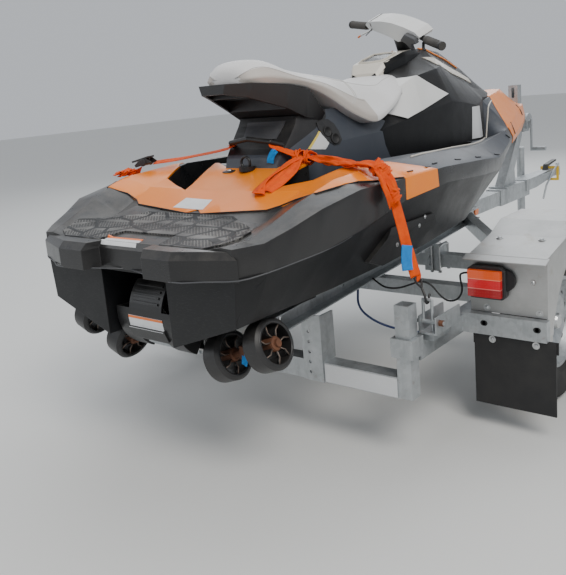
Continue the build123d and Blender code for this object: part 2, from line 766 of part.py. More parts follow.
def make_cross_tube(arms):
    rail_z = RAIL_TOP_Z - RAIL_TALL / 2
    reach = 450
    return square_bar((-reach, CROSS_Y, rail_z), (reach, CROSS_Y, rail_z), 60, RAIL_TALL) - arms


def make_rails():
    rail_z = RAIL_TOP_Z - RAIL_TALL / 2
    start, stop = (RAIL_X, RAIL_REAR_Y, rail_z), (RAIL_X, RAIL_FRONT_Y + 30, rail_z)
    rail = square_tube(start, stop, RAIL_WIDE, RAIL_TALL)
    wide = RAIL_WIDE / 2 + 13
    low, high = RAIL_TOP_Z - 36, RAIL_TOP_Z + 26
    collar = span((RAIL_X - wide, RAIL_X + wide), (POST_Y - 35, RAIL_REAR_Y), (low, high))
    half = POST_SIZE / 2
    slot = span((RAIL_X - half, RAIL_X + half), (POST_Y - half, POST_Y + half), (200, 600))
    return pair(rail + (collar - slot))


def make_rear_frame():
    low = LOW_BAR_Z - LOW_BAR_TALL / 2
    post = square_tube((RAIL_X, POST_Y, low), (RAIL_X, POST_Y, POST_TOP_Z), POST_SIZE, POST_SIZE)
    inner = RAIL_X - POST_SIZE / 2
    bar = square_bar((-inner, POST_Y, LOW_BAR_Z), (inner, POST_Y, LOW_BAR_Z), 60, LOW_BAR_TALL)
    return bar + post + mirror(post, about=Plane.YZ)


def beam_point(y, lift=0.0):
    """Point on the beam's centre line at a place along the trailer, at the beam's top plus a lift."""
    share = (y - BEAM_REAR[1]) / (BEAM_FRONT[1] - BEAM_REAR[1])
    return (mix(BEAM_REAR[0], BEAM_FRONT[0], share), y, mix(BEAM_REAR[2], BEAM_FRONT[2], share) + lift)


def make_beams():
    start = Vector(*BEAM_REAR) - Vector(0, 0, BEAM_TALL / 2)
    stop = Vector(*BEAM_FRONT) - Vector(0, 0, BEAM_TALL / 2)
    plane, length = along(start, stop)
    outer = Box(BEAM_WIDE, BEAM_TALL, length, align=ON_START)
    slot = Pos(-BEAM_WALL, 0, 0) * Box(BEAM_WIDE, BEAM_TALL - 2 * BEAM_WALL, length, align=ON_START)
    beam = plane * (outer - slot)
    for y in range(380, 2200, 430):
        x, _, z = beam_point(y, -BEAM_TALL / 2)
        beam = beam - round_bar((x - 40, y, z), (x + 40, y, z), 9)
    return beam


def make_pads(hull):
    pads = None
    for y in (480, 880, 1280, 1640):
        x, _, z = beam_point(y)
        block = span((x - 22, x + 22), (y - 60, y + 60), (z - 1, z + 40))
        lower = square_bar(beam_point(y - 120, -20), beam_point(y + 120, -20), 90, 40)
        one = block - lower - hull
        pads = one if pads is None else pads + one
    return pads


def make_brackets():
    """Perforated plates that carry the beams on the low bar and on the cross tube."""
    low_top, cross_top = LOW_BAR_Z + LOW_BAR_TALL / 2, RAIL_TOP_Z
    rows = (
        # y of the tube's rear face, plate's bottom, top of the tube that carries it
        (POST_Y - 36, low_top - LOW_BAR_TALL, low_top),
        (CROSS_Y - 36, cross_top - RAIL_TALL - 20, cross_top),
    )
    result = None
    for face_y, bottom, seat_z in rows:
        x, _, top = beam_point(face_y, -BEAM_TALL - 1)
        plate = span((x - BRACKET_HALF, x + BRACKET_HALF), (face_y, face_y + 6), (bottom, top))
        web = span((x + BRACKET_HALF - 6, x + BRACKET_HALF), (face_y, face_y + 76), (seat_z, top))
        one = plate + web
        for index in range(int((top - bottom - BRACKET_HALF) // HOLE_PITCH)):
            z = bottom + 30 + HOLE_PITCH * index
            one = one - round_bar((x - 12, face_y - 5, z), (x - 12, face_y + 12, z), 6)
        result = one if result is None else result + one
    return pair(result)


def roller_axle_plane():
    """Plane at the middle of a rear roller pair, with its Z along their tilted axle."""
    rise = (STATIONS[0]["chine_z"] - KEEL_Z) / STATIONS[0]["chine_x"]
    tilt = atan2(rise, 1)
    hull_z = KEEL_Z + ROLLER_X * rise
    drop = (ROLLER_RADIUS + ROLLER_GAP) / cos(tilt)
    return Plane((ROLLER_X, ROLLER_Y, hull_z - drop), x_dir=(0, 1, 0), z_dir=(cos(tilt), 0, sin(tilt)))


def roller_spoke():
    """Bent spoke from the hub to the roller's rim."""
    inner, outer, half = ROLLER_HUB - 3, ROLLER_RADIUS - ROLLER_RIM + 1, 2.5
    bent = ((inner, -half), (mix(inner, outer, 0.5), 7 - half), (outer, -half))
    back = [(x, y + 2 * half) for x, y in reversed(bent)]
    profile = make_face(Polyline(*bent, *back, close=True))
    return extrude(profile, amount=ROLLER_WIDE / 2 - 15, both=True)
def make_rollers():
    """Two spoked rollers on one axle, as one turning set."""
    half, inner = ROLLER_WIDE / 2, ROLLER_RADIUS - ROLLER_RIM
    outline = (
        (ROLLER_RADIUS - 8, -half), (ROLLER_RADIUS, 8 - half), (ROLLER_RADIUS, half - 8),
        (ROLLER_RADIUS - 8, half), (inner, half), (inner, -half),
    )
    rim = revolve(Plane.XZ * make_face(Polyline(*outline, close=True)), Axis.Z)
    wheel = rim + Cylinder(ROLLER_HUB, ROLLER_WIDE - 8)
    for index in range(ROLLER_SPOKES):
        wheel = wheel + Rot(0, 0, 360 / ROLLER_SPOKES * index) * roller_spoke()
    wheel = wheel - Cylinder(ROLLER_SHAFT + SHAFT_FIT, ROLLER_WIDE + 10)
    plane = roller_axle_plane()
    return Compound([plane * (Pos(0, 0, side * ROLLER_OFFSET) * wheel) for side in (-1, 1)])


def make_roller_carriers(beam):
    """Each roller pair's shaft, in a saddle under the beam's rear end."""
    plane = roller_axle_plane()
    half = ROLLER_OFFSET + ROLLER_WIDE / 2 + 10
    shaft = plane * Cylinder(ROLLER_SHAFT, 2 * half)
    x, y, z = plane.origin
    saddle = span((x - 16, x + 34), (y - 20, PLATE_Y - 12), (z - 22, BEAM_REAR[2] - BEAM_TALL + 4)) - beam
    return pair((saddle - shaft) + shaft)


def guard_outline():
    rear, front = WHEEL_Y - GUARD_HALF, WHEEL_Y + GUARD_HALF
    return (
        (rear, GUARD_REAR_Z), (rear, GUARD_LIP_Z), (rear + 165, 646), (rear + 262, GUARD_TOP_Z),
        (front - 262, GUARD_TOP_Z), (front - 165, 646), (front, GUARD_LIP_Z), (front, 470),
    )


def make_guards():
    """Folded sheet over each wheel with its skirt, and the lip that overhangs the lamp plate."""
    outline = guard_outline()
    closed = prism(outline, "X", GUARD_IN_X, GUARD_OUT_X)
    inside = [(y + (SHEET if y < WHEEL_Y else -SHEET), z - SHEET) for y, z in outline]
    inside[0] = (inside[0][0], 300)
    inside[-1] = (inside[-1][0], 300)
    sheet = closed - prism(inside, "X", GUARD_IN_X - 10, GUARD_OUT_X + 10)
    rear, front = outline[0][0], outline[-1][0]
    skirt_points = [(rear, 330)] + list(outline[1:-1]) + [(front, 400), (front - 60, 330)]
    skirt = prism(skirt_points, "X", GUARD_OUT_X - SHEET, GUARD_OUT_X)
    near, far = GUARD_OUT_X - 20, GUARD_OUT_X + 20
    arch = round_bar((near, WHEEL_Y, TYRE_RADIUS), (far, WHEEL_Y, TYRE_RADIUS), ARCH_RADIUS)
    below = span((near, far), (WHEEL_Y - ARCH_RADIUS, WHEEL_Y + ARCH_RADIUS), (200, TYRE_RADIUS + 60))
    edge, lip_z = rear - GUARD_LIP, GUARD_LIP_Z
    lip = ((rear + 3, lip_z - 4), (edge, lip_z - 16), (edge, lip_z - 12), (rear + 3, lip_z))
    lip = prism(lip, "X", GUARD_IN_X - 12, GUARD_OUT_X + 6)
    return pair(sheet + (skirt - arch - below) + lip)


def make_guard_bars():
    """Flat bars across the rail's end that the mudguards are bolted to."""
    rear, front = WHEEL_Y - GUARD_HALF, WHEEL_Y + GUARD_HALF
    inner = RAIL_X + RAIL_WIDE / 2
    bars = span((inner, GUARD_OUT_X + 6), (rear - 30, rear), (345, 414))
    return bars + span((inner, GUARD_OUT_X - 20), (front, front + 30), (345, 400))


def make_lamps():
    """Rear lamps with the round cap behind each, and the amber discs on the drawbar's sides."""
    wide, deep, tall = LAMP
    rear = WHEEL_Y - GUARD_HALF
    lamp = span((LAMP_X, LAMP_X + wide), (rear - deep, rear), (LAMP_Z, LAMP_Z + tall))
    cap_x, cap_z = LAMP_X + wide, LAMP_Z + tall * 0.62
    cap = Pos(cap_x, rear, cap_z) * Rot(90, 0, 0) * Cylinder(38, 16, align=ON_START)
    side = DRAWBAR / 2
    disc = round_bar((side, REFLECTOR_Y, REFLECTOR_Z), (side + 7, REFLECTOR_Y, REFLECTOR_Z), 22)
    return pair(Compound([lamp + cap, disc]))


def make_flaps():
    wide, thick, tall = FLAP
    rear = WHEEL_Y - GUARD_HALF - 12
    flap = span((FLAP_X, FLAP_X + wide), (rear - thick, rear), (FLAP_Z, FLAP_Z + tall))
    strip = span((FLAP_X - 6, FLAP_X + wide + 6), (rear, rear + 4), (FLAP_Z + tall - 40, 345))
    return pair(flap + strip)


def make_coupling():
    """Pressed channel from the drawbar's end to the socket over the ball, with its handle and lever."""
    rear = SLEEVE_FRONT_Y - 60
    shoulder, throat, cup = (mix(SLEEVE_FRONT_Y, BALL_Y, share) for share in (0.2, 0.8, 0.87))
    top = DRAWBAR_TOP_Z + 6
    half = [
        (52, rear), (52, shoulder), (28, throat), (28, cup),
        (36, COUPLING_NOSE_Y - 40), (20, COUPLING_NOSE_Y),
    ]
    plate = prism(half + [(-x, y) for x, y in reversed(half)], "Z", top, top + 6)
    side = ((rear, top - 63), (rear, top), (throat, top), (throat, top - 33), (shoulder, top - 63))
    cheek = prism(side, "X", DRAWBAR / 2 + 6, DRAWBAR / 2 + 11)
    socket = Pos(0, BALL_Y, top - 25) * (Cylinder(44, 44) - Cylinder(BALL_RADIUS + 0.5, 60))
    neck = span((-26, 26), (mix(SLEEVE_FRONT_Y, BALL_Y, 0.55), BALL_Y - 40), (top - 41, top))
    grip_y = mix(SLEEVE_FRONT_Y, BALL_Y, 0.7)
    handle = prism(
        ((grip_y, top + 6), (grip_y + 20, top + 42), (BALL_Y + 22, top + 57), (BALL_Y + 27, top + 47),
         (grip_y + 40, top + 27), (grip_y + 30, top + 6)),
        "X", -14, 14,
    )
    x = DRAWBAR / 2 + 11 + LEVER_RADIUS - 1
    places = ((34, 35), (-59, -12), (-169, -74), (-225, -150))
    bends = [(x, throat + ahead, top + lift) for ahead, lift in places]
    lever = Pos(*bends[0]) * Sphere(2 * LEVER_RADIUS)
    for start, stop in zip(bends, bends[1:]):
        lever = lever + round_bar(start, stop, LEVER_RADIUS) + Pos(*stop) * Sphere(LEVER_RADIUS)
    return plate + cheek + mirror(cheek, about=Plane.YZ) + socket + neck + handle + lever


def make_coupling_lock():
    """Yellow lock: a square hoop round the coupling's neck."""
    top = DRAWBAR_TOP_Z + 6
    middle_y = BALL_Y - 44 - LOCK_SIZE - 4
    near, far = middle_y - LOCK_SIZE / 2, middle_y + LOCK_SIZE / 2
    size = LOCK_SIZE
    outer = span((-LOCK_HALF, LOCK_HALF), (near, far), (top - LOCK_DROP, top + 6 + size))
    inner = span((size - LOCK_HALF, LOCK_HALF - size), (near - 1, far + 1), (top + size - LOCK_DROP, top + 6))
    return outer - inner


def make_jockey():
    """Clamped outer tube with its bracket, cap and crank, and the stem that slides in it."""
    x, y = JOCKEY_X, JOCKEY_Y
    crank_z = JOCKEY_TOP_Z + 6
    side = -(DRAWBAR / 2 + 6)
    tube = pipe((x, y, 300), (x, y, JOCKEY_TOP_Z), JOCKEY_TUBE, JOCKEY_TUBE - TUBE_WALL)
    collar = Pos(x, y, JOCKEY_CLAMP_Z) * Cylinder(JOCKEY_TUBE + 8, 60)
    bore = Pos(x, y, JOCKEY_CLAMP_Z) * Cylinder(JOCKEY_TUBE, 60)
    bracket = span((x + 28, side - 5), (y - 30, y + 30), (JOCKEY_CLAMP_Z - 24, JOCKEY_CLAMP_Z + 24))
    stem = round_bar((x, y, 252), (x, y, 640), JOCKEY_TUBE - TUBE_WALL - 1)
    cap = Pos(x, y, crank_z) * Cylinder(JOCKEY_TUBE + 1, 12)
    crank = round_bar((x, y, crank_z), (x - 110, y, crank_z), 6)
    crank = crank + round_bar((x - 104, y, crank_z), (x - 104, y, crank_z + 64), 9)
    return tube + (collar - bore) + (bracket - collar) + cap + (crank - cap), stem


def make_jockey_fork():
    x, y = JOCKEY_X, JOCKEY_Y
    trail = JOCKEY_TRAIL
    half = JOCKEY_WIDE / 2 + 8
    crown = Pos(x, y, 238) * Cylinder(22, 26)
    plate = span((x - half - 5, x + half + 5), (y - trail - 22, y + 22), (219, 225))
    cheek = prism(
        ((y + 22, 225), (y + 10, 120), (y - trail + 8, 88), (y - trail - 16, 94), (y - trail - 22, 225)),
        "X", x + half, x + half + 5,
    )
    other = Pos(-2 * half - 5, 0, 0) * cheek
    reach = half + 11
    start, stop = (x - reach, y - trail, JOCKEY_RADIUS), (x + reach, y - trail, JOCKEY_RADIUS)
    axle = round_bar(start, stop, JOCKEY_AXLE)
    return crown + plate + (cheek + other - axle) + axle


def make_jockey_wheel():
    start = (JOCKEY_X - JOCKEY_WIDE / 2, JOCKEY_Y - JOCKEY_TRAIL, JOCKEY_RADIUS)
    stop = (JOCKEY_X + JOCKEY_WIDE / 2, JOCKEY_Y - JOCKEY_TRAIL, JOCKEY_RADIUS)
    return pipe(start, stop, JOCKEY_RADIUS, JOCKEY_AXLE + SHAFT_FIT)


def post_outline(inset=0.0):
    """Side outline of the winch post, flared at its foot and bent to clear the stem."""
    top = DRAWBAR_TOP_Z + 6
    foot_y, knee_z, head_z = POST_FOOT_Y, POST_KNEE_Z, POST_HEAD_Z
    rear, front = POST_HEAD_Y - POST_DEEP / 2 + inset, POST_HEAD_Y + POST_DEEP / 2 - inset
    return (
        (foot_y - 70 + inset, top), (rear, knee_z), (rear, head_z + inset), (front, head_z + inset),
        (front, knee_z - 20), (foot_y + 96 - inset, top + 90), (foot_y + 110 - inset, top),
    )


def make_winch_post():
    top = DRAWBAR_TOP_Z + 6
    half = POST_WIDE / 2
    post = prism(post_outline(), "X", -half, half)
    hollow = prism(post_outline(POST_WALL), "X", POST_WALL - half, half - POST_WALL)
    slot_z = POST_HEAD_Z - 44
    slot = span((-9, 9), (POST_HEAD_Y - 60, POST_HEAD_Y + 60), (slot_z - 22, slot_z + 22))
    for end in (-22, 22):
        slot = slot + round_bar((0, POST_HEAD_Y - 60, slot_z + end), (0, POST_HEAD_Y + 60, slot_z + end), 9)
    base = span((-56, 56), (POST_FOOT_Y - 90, POST_FOOT_Y + 130), (top, top + 8))
    return (post - hollow - slot) + base


def winch_place():
    return POST_HEAD_Y + POST_DEEP / 2 + WINCH_DRUM + 14, POST_HEAD_Z - WINCH_DROP


def make_winch():
    """Drum between two cheeks on the post's front face, with its gear and crank to starboard."""
    y, z = winch_place()
    rear = POST_HEAD_Y + POST_DEEP / 2
    drum = round_bar((-32, y, z), (32, y, z), WINCH_DRUM)
    cheek = span((32, 37), (rear, y + 50), (z - 52, z + 52))
    plate = span((-37, 37), (rear, rear + 5), (z - 52, z + 52))
    gear = round_bar((37, y + 10, z + 10), (52, y + 10, z + 10), 46)
    crank = round_bar((52, y + 10, z + 10), (66, y + 10, z + 10), 10)
    crank = crank + span((60, 68), (y, y + 20), (z - 170, z + 20))
    knob = round_bar((68, y + 10, z - 158), (150, y + 10, z - 158), 13)
    return drum + cheek + mirror(cheek, about=Plane.YZ) + plate + gear + crank + knob


def make_bow_stop():
    """Rubber block between the stem and the post's rear face."""
    ahead = POST_HEAD_Y - POST_DEEP / 2
    block = span((-40, 40), (ahead - 160, ahead), (POST_KNEE_Z + 6, POST_KNEE_Z + 76))
    return block - lofted(hull_half) - lofted(deck_half)


def make_plate_holder():
    """Number plate under the port beam, and the bare sign board on the low bar."""
    x, _, beam_z = beam_point(PLATE_Y, -BEAM_TALL)
    inner = -TUNNEL_HALF - 6
    low = PLATE_TOP_Z - PLATE_TALL
    plate = span((inner - PLATE_LONG, inner), (PLATE_Y - 6, PLATE_Y), (low, PLATE_TOP_Z))
    strap = span((-x - 15, 15 - x), (PLATE_Y, PLATE_Y + 6), (PLATE_TOP_Z - 66, beam_z))
    face_y = POST_Y - 30
    start = beam_point(POST_Y - 36)[0] + BRACKET_HALF + 5
    board = span((start, RAIL_X - POST_SIZE / 2), (face_y - SHEET, face_y), (LOW_BAR_Z - 31, LOW_BAR_Z + 31))
    return Compound([plate + strap, board])


def make_strap_brackets():
    """Channel pieces on the rails' rear ends, each with a cross bolt and a shackle for the strap's hook."""
    low_x = RAIL_X + 20
    block = span((low_x, low_x + 62), (POST_Y + 40, POST_Y + 200), (RAIL_TOP_Z + 27, RAIL_TOP_Z + 84))
    hollow = span((low_x + 5, low_x + 57), (POST_Y + 30, POST_Y + 210), (RAIL_TOP_Z + 33, RAIL_TOP_Z + 90))
    foot = span((low_x, low_x + 40), (POST_Y + 60, POST_Y + 180), (RAIL_TOP_Z, RAIL_TOP_Z + 27))
    bolt_y, bolt_z = POST_Y + 62, RAIL_TOP_Z + 62
    bolt = round_bar((low_x - 14, bolt_y, bolt_z), (low_x + 80, bolt_y, bolt_z), 7)
    near, far = low_x + 8, low_x + 38
    bends = ((near, RAIL_TOP_Z + 60), (near, SHACKLE_Z), (far, SHACKLE_Z), (far, RAIL_TOP_Z + 29))
    legs = [(x, SHACKLE_Y, z) for x, z in bends]
    shackle = None
    for start, stop in zip(legs, legs[1:]):
        run = round_bar(start, stop, SHACKLE_BAR) + Pos(*stop) * Sphere(SHACKLE_BAR)
        shackle = run if shackle is None else shackle + run
    return pair((block - hollow) + foot + bolt + shackle)


def make_deck_handle():
    """Hand hold across the pedestal's rear, and the tow eye on its boss below."""
    bends = ((-141, 745, 991), (-93, 651, 1029), (0, 640, 1042), (93, 651, 1029), (141, 745, 991))
    hold = None
    for start, stop in zip(bends, bends[1:]):
        run = round_bar(start, stop, HOLD_RADIUS) + Pos(*stop) * Sphere(HOLD_RADIUS)
        hold = run if hold is None else hold + run
    boss = round_bar((0, TOW_EYE_Y + 6, TOW_EYE_Z - 30), (0, TOW_EYE_Y + 6, TOW_EYE_Z - 14), 30)
    ring = Pos(0, TOW_EYE_Y, TOW_EYE_Z) * Rot(90, 0, 0) * Torus(20, 5)
    return Compound([hold, boss + ring])


def make_straps():
    """Tie-down strap on each side, pulled from the hand hold over the gunwale down to its hook."""
    rows = (
        # x, y, z
        (116, 660, 1016),
        (158, 666, 988),
        (206, 686, 972),
        (308, 672, 962),
        (411, 640, 954),
        (492, 600, 953),
        (550, 596, 932),
        (598, 606, 892),
        (652, 632, 602),
    )
    strap = None
    for start, stop in zip(rows, rows[1:]):
        way = (Vector(*stop) - Vector(*start)).normalized()
        plane, length = along(Vector(*start) - way * 2, Vector(*stop) + way * 2)
        run = plane * Box(STRAP_WIDE, STRAP_THICK, length, align=ON_START)
        strap = run if strap is None else strap + run
    return pair(strap)


def cord(points, radius):
    """Round cord of straight runs joined by arcs, through points that were chosen by hand."""
    places = [Vector(*point) for point in points]
    radii = []
    for before, here, after in zip(places, places[1:], places[2:]):
        arriving, leaving = here - before, after - here
        half_turn = radians(arriving.get_angle(leaving)) / 2
        radii.append(0.45 * min(arriving.length, leaving.length) / tan(half_turn))
    print("cord radii", [round(value) for value in radii])
    path = FilletPolyline(*places, radius=radii)
    start = Plane(places[0], z_dir=places[1] - places[0])
    return sweep(start * Circle(radius), path=path)

# Routes, as (x, y, z), from the lamp round to the beam, and from the beam down and out to the rail
LAMP_CABLE = (
    (698, 912, 552), (664, 914, 549), (648, 936, 524), (648, 952, 488), (640, 962, 456), (618, 964, 430),
    (582, 962, 424), (552, 958, 450), (528, 955, 482), (490, 952, 492), (446, 954, 474), (394, 960, 452),
    (342, 968, 444), (300, 976, 450), (264, 982, 472),
)
BRAKE_HOSE = (
    (250, 900, 458), (246, 902, 428), (238, 910, 394), (240, 926, 358), (258, 948, 326), (288, 970, 300),
    (332, 988, 282), (384, 1000, 274), (438, 1005, 274), (492, 1004, 280), (542, 1000, 290),
    (586, 995, 300), (620, 991, 314), (640, 987, 339),
)
CABLE_RADIUS = 3.5
HOSE_RADIUS = 4.5


def build():
    deck, rear_panel, side_panels, bow_panel = make_deck()
    hull = make_hull()
    pedestal, black_wedge = make_pedestal()
    body = pedestal + black_wedge
    room = steering_room()
    whole_fairing = make_fairing()
    dash = make_dash() - whole_fairing - room
    carrier = make_carrier(black_wedge) - pedestal
    seat = make_seat() - body - carrier - whole_fairing - dash
    deck = deck - body
    fairing = whole_fairing - deck - bow_panel - body - hull - room
    stern = make_stern() - hull - deck
    handle = make_deck_handle() - body - rear_panel
    beams = make_beams()
    arms = make_arms()
    jockey, jockey_stem = make_jockey()
    winch_post = make_winch_post()
    return {
        "hull": hull,
        "deck": deck,
        "rear_panel": rear_panel - body,
        "side_panels": side_panels,
        "bow_panel": bow_panel,
        "stern_bumper": stern,
        "tread_mats": make_mats() - stern,
        "pedestal": pedestal - hull,
        "seat_carrier": carrier - hull,
        "seat": seat,
        "fairing": fairing,
        "dash": dash,
        "knee_panels": make_knee_panels(whole_fairing) - seat - body,
        "deck_handle": handle,
        "sponsons": make_sponsons(),
        "intake_grate": make_grate(hull),
        "ride_plate": make_ride_plate(),
        "pump_housing": make_pump(),
        "impeller": make_impeller(),
        "steering_nozzle": make_nozzle(),
        "reverse_gate": make_gate(),
        "gate_pins": make_gate_pins(),
        **make_steering(),
        "tyre_right": make_tyre(1),
        "tyre_left": make_tyre(-1),
        "rim_right": make_rim(1),
        "rim_left": make_rim(-1),
        "axle": make_axle(),
        "drawbar": make_drawbar(),
        "spread_arms": arms,
        "cross_tube": make_cross_tube(arms),
        "side_rails": make_rails(),
        "rear_frame": make_rear_frame(),
        "bunk_beams": pair(beams),
        "bunk_pads": pair(make_pads(hull) - beams),
        "beam_brackets": make_brackets(),
        "rollers_right": make_rollers(),
        "rollers_left": mirror(make_rollers(), about=Plane.YZ),
        "roller_carriers": make_roller_carriers(beams),
        "mudguards": make_guards(),
        "guard_bars": pair(make_guard_bars()),
        "lamps": make_lamps(),
        "mud_flaps": make_flaps(),
        "coupling": make_coupling(),
        "coupling_lock": make_coupling_lock(),
        "jockey_tube": jockey,
        "jockey_stem": jockey_stem,
        "jockey_fork": make_jockey_fork(),
        "jockey_wheel": make_jockey_wheel(),
        "winch_post": winch_post,
        "winch": make_winch(),
        "bow_stop": make_bow_stop(),
        "plate_holder": make_plate_holder(),
        "strap_brackets": make_strap_brackets(),
        "tie_straps": make_straps() - handle - body,
        "lamp_cable": cord(LAMP_CABLE, CABLE_RADIUS),
        "brake_hose": cord(BRAKE_HOSE, HOSE_RADIUS),
    }


def main():
    os.makedirs("parts", exist_ok=True)
    middle_y = (STERN_Y + COUPLING_NOSE_Y) / 2
    for name, shape in build().items():
        export_step(Pos(0, -middle_y, 0) * shape, f"parts/{name}.step")
    print("middle_y", middle_y)


main()
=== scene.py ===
"""Looks of the watercraft on its boat trailer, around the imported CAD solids. Metres, +Y to the bow."""

import math
import random

import bmesh
import bpy
from mathutils import Matrix, Vector
from mathutils.bvhtree import BVHTree


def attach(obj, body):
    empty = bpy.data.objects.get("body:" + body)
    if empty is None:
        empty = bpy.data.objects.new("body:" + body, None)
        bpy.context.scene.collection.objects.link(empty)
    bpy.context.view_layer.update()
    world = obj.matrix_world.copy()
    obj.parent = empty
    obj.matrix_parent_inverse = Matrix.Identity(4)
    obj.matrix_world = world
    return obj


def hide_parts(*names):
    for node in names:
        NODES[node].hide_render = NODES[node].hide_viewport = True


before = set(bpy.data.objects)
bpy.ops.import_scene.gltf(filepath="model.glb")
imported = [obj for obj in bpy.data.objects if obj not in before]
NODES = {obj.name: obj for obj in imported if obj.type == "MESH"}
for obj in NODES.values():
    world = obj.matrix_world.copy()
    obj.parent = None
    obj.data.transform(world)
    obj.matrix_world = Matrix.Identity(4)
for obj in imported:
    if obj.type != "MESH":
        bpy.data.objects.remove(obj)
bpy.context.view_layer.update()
CRAFT = "craft_on_trailer"
# The drawing's y = 0 is the stern's bumper, and the frame's is the middle of the length
STERN_TO_MIDDLE = 1.863
SIDES = {1: "right", -1: "left"}
UP, DOWN = Vector((0, 0, 1)), Vector((0, 0, -1))
AHEAD, REARWARD = Vector((0, 1, 0)), Vector((0, -1, 0))
TO_PORT = Vector((-1, 0, 0))
FLUSH = 0.0002  # how far the middle of a drawn line stands off a solid


def at(x, y, z):
    """A place given from the stern's bumper, in the frame."""
    return Vector((x, y - STERN_TO_MIDDLE, z))


def places(points, side=1):
    """Places given from the stern's bumper, or their mirror images with side -1."""
    return [at(side * x, y, z) for x, y, z in points]


# Materials
DUST, RUST = (0.42, 0.38, 0.32), (0.20, 0.085, 0.03)


class Recipe:
    """Node tree of one procedural material, in the frame's own metres."""

    def __init__(self, name, rough, metal=0.0, **sockets):
        self.material = bpy.data.materials.new(name)
        self.material.use_nodes = True
        self.tree = self.material.node_tree
        self.tree.nodes.clear()
        self.shader = self.node("ShaderNodeBsdfPrincipled", {"Roughness": rough, "Metallic": metal})
        self.node("ShaderNodeOutputMaterial", {0: self.shader.outputs[0]})
        self.place = self.node("ShaderNodeTexCoord").outputs["Object"]
        for socket, value in sockets.items():
            self.shader.inputs[socket.replace("_", " ")].default_value = value
        self.normal = None

    def put(self, socket, value):
        """Links an output to the socket, or sets the socket's own value."""
        if isinstance(value, bpy.types.NodeSocket):
            self.tree.links.new(value, socket)
        elif socket.type == "RGBA":
            socket.default_value = (*value, 1.0)
        else:
            socket.default_value = value

    def node(self, kind, inputs=None, **settings):
        made = self.tree.nodes.new(kind)
        for key, value in settings.items():
            setattr(made, key, value)
        for key, value in (inputs or {}).items():
            self.put(made.inputs[key], value)
        return made

    def stretched(self, scale, turn=(0, 0, 0)):
        inputs = {"Vector": self.place, "Scale": scale, "Rotation": turn}
        return self.node("ShaderNodeMapping", inputs).outputs[0]

    def noise(self, scale, detail=4.0, rough=0.55, place=None):
        inputs = {"Vector": place or self.place, "Scale": scale, "Detail": detail, "Roughness": rough}
        return self.node("ShaderNodeTexNoise", inputs).outputs["Fac"]

    def cells(self, scale, feature="F1", place=None, output="Distance", **inputs):
        inputs = {"Vector": place or self.place, "Scale": scale, **inputs}
        return self.node("ShaderNodeTexVoronoi", inputs, feature=feature).outputs[output]

    def ramp(self, value, *stops):
        """Colours or greys at shares of the value."""
        made = self.node("ShaderNodeValToRGB", {0: value})
        elements = made.color_ramp.elements
        while len(elements) < len(stops):
            elements.new(0.5)
        for element, (position, colour) in zip(elements, stops):
            element.position = position
            element.color = (*(colour if hasattr(colour, "__len__") else (colour,) * 3), 1.0)
        return made.outputs[0]

    def fade(self, value, low, high, most=1.0):
        """Grey that goes from nothing to its most between two shares of the value."""
        return self.ramp(value, (low, 0.0), (high, most))

    def mix(self, share, a, b):
        return self.node("ShaderNodeMix", {0: share, 6: a, 7: b}, data_type="RGBA").outputs[2]

    def calc(self, operation, a, b):
        return self.node("ShaderNodeMath", {0: a, 1: b}, operation=operation).outputs[0]

    def times(self, a, b):
        return self.calc("MULTIPLY", a, b)

    def facing_up(self):
        """How far the surface faces up, 0 to 1."""
        normal = self.node("ShaderNodeNewGeometry").outputs["Normal"]
        return self.calc("MAXIMUM", self.node("ShaderNodeSeparateXYZ", {0: normal}).outputs["Z"], 0.0)

    def height(self):
        return self.node("ShaderNodeSeparateXYZ", {0: self.place}).outputs["Z"]

    def colour(self, value):
        self.put(self.shader.inputs["Base Color"], value)

    def rough(self, value, low, high):
        spread = self.node("ShaderNodeMapRange", {"Value": value, "To Min": low, "To Max": high})
        self.put(self.shader.inputs["Roughness"], spread.outputs[0])

    def bump(self, value, strength, distance=0.001):
        """Adds relief to what the recipe has so far."""
        inputs = {"Height": value, "Strength": strength, "Distance": distance}
        if self.normal is not None:
            inputs["Normal"] = self.normal
        self.normal = self.node("ShaderNodeBump", inputs).outputs[0]
        self.put(self.shader.inputs["Normal"], self.normal)

    def scratches(self):
        """Fine hair lines, near 1 on a line and 0 elsewhere."""
        streaks = self.noise(60.0, 2.0, 0.5, self.stretched((1.0, 14.0, 6.0), (0.3, 0.2, 0.7)))
        return self.ramp(streaks, (0.60, 0.0), (0.64, 1.0), (0.68, 0.0))


def scaled(colour, share, extra=0.0):
    """The colour made darker or lighter."""
    return tuple(min(1.0, c * share + extra) for c in colour)


def plastic(name, base, worn, rough, dust=0.25, grain=900.0, grain_strength=0.12, scuffs=0.5, **sockets):
    """Moulded plastic: fine grain, scuffs, dust that lies on what faces up."""
    r = Recipe(name, rough, **sockets)
    cloud = r.noise(2.2, 5.0)
    marks = r.noise(14.0, 6.0, 0.65)
    colour = r.mix(r.fade(cloud, 0.35, 0.75), base, worn)
    hair = r.scratches()
    colour = r.mix(r.times(hair, scuffs * 0.35), colour, scaled(worn, 1.6, 0.05))
    settled = r.times(r.facing_up(), r.fade(marks, 0.38, 0.8))
    colour = r.mix(r.times(settled, dust), colour, DUST)
    r.colour(colour)
    r.rough(marks, max(0.05, rough - 0.1), min(1.0, rough + 0.16))
    r.bump(r.noise(grain, 3.0, 0.6), grain_strength, 0.0004)
    r.bump(hair, 0.15, 0.0004)
    return r.material


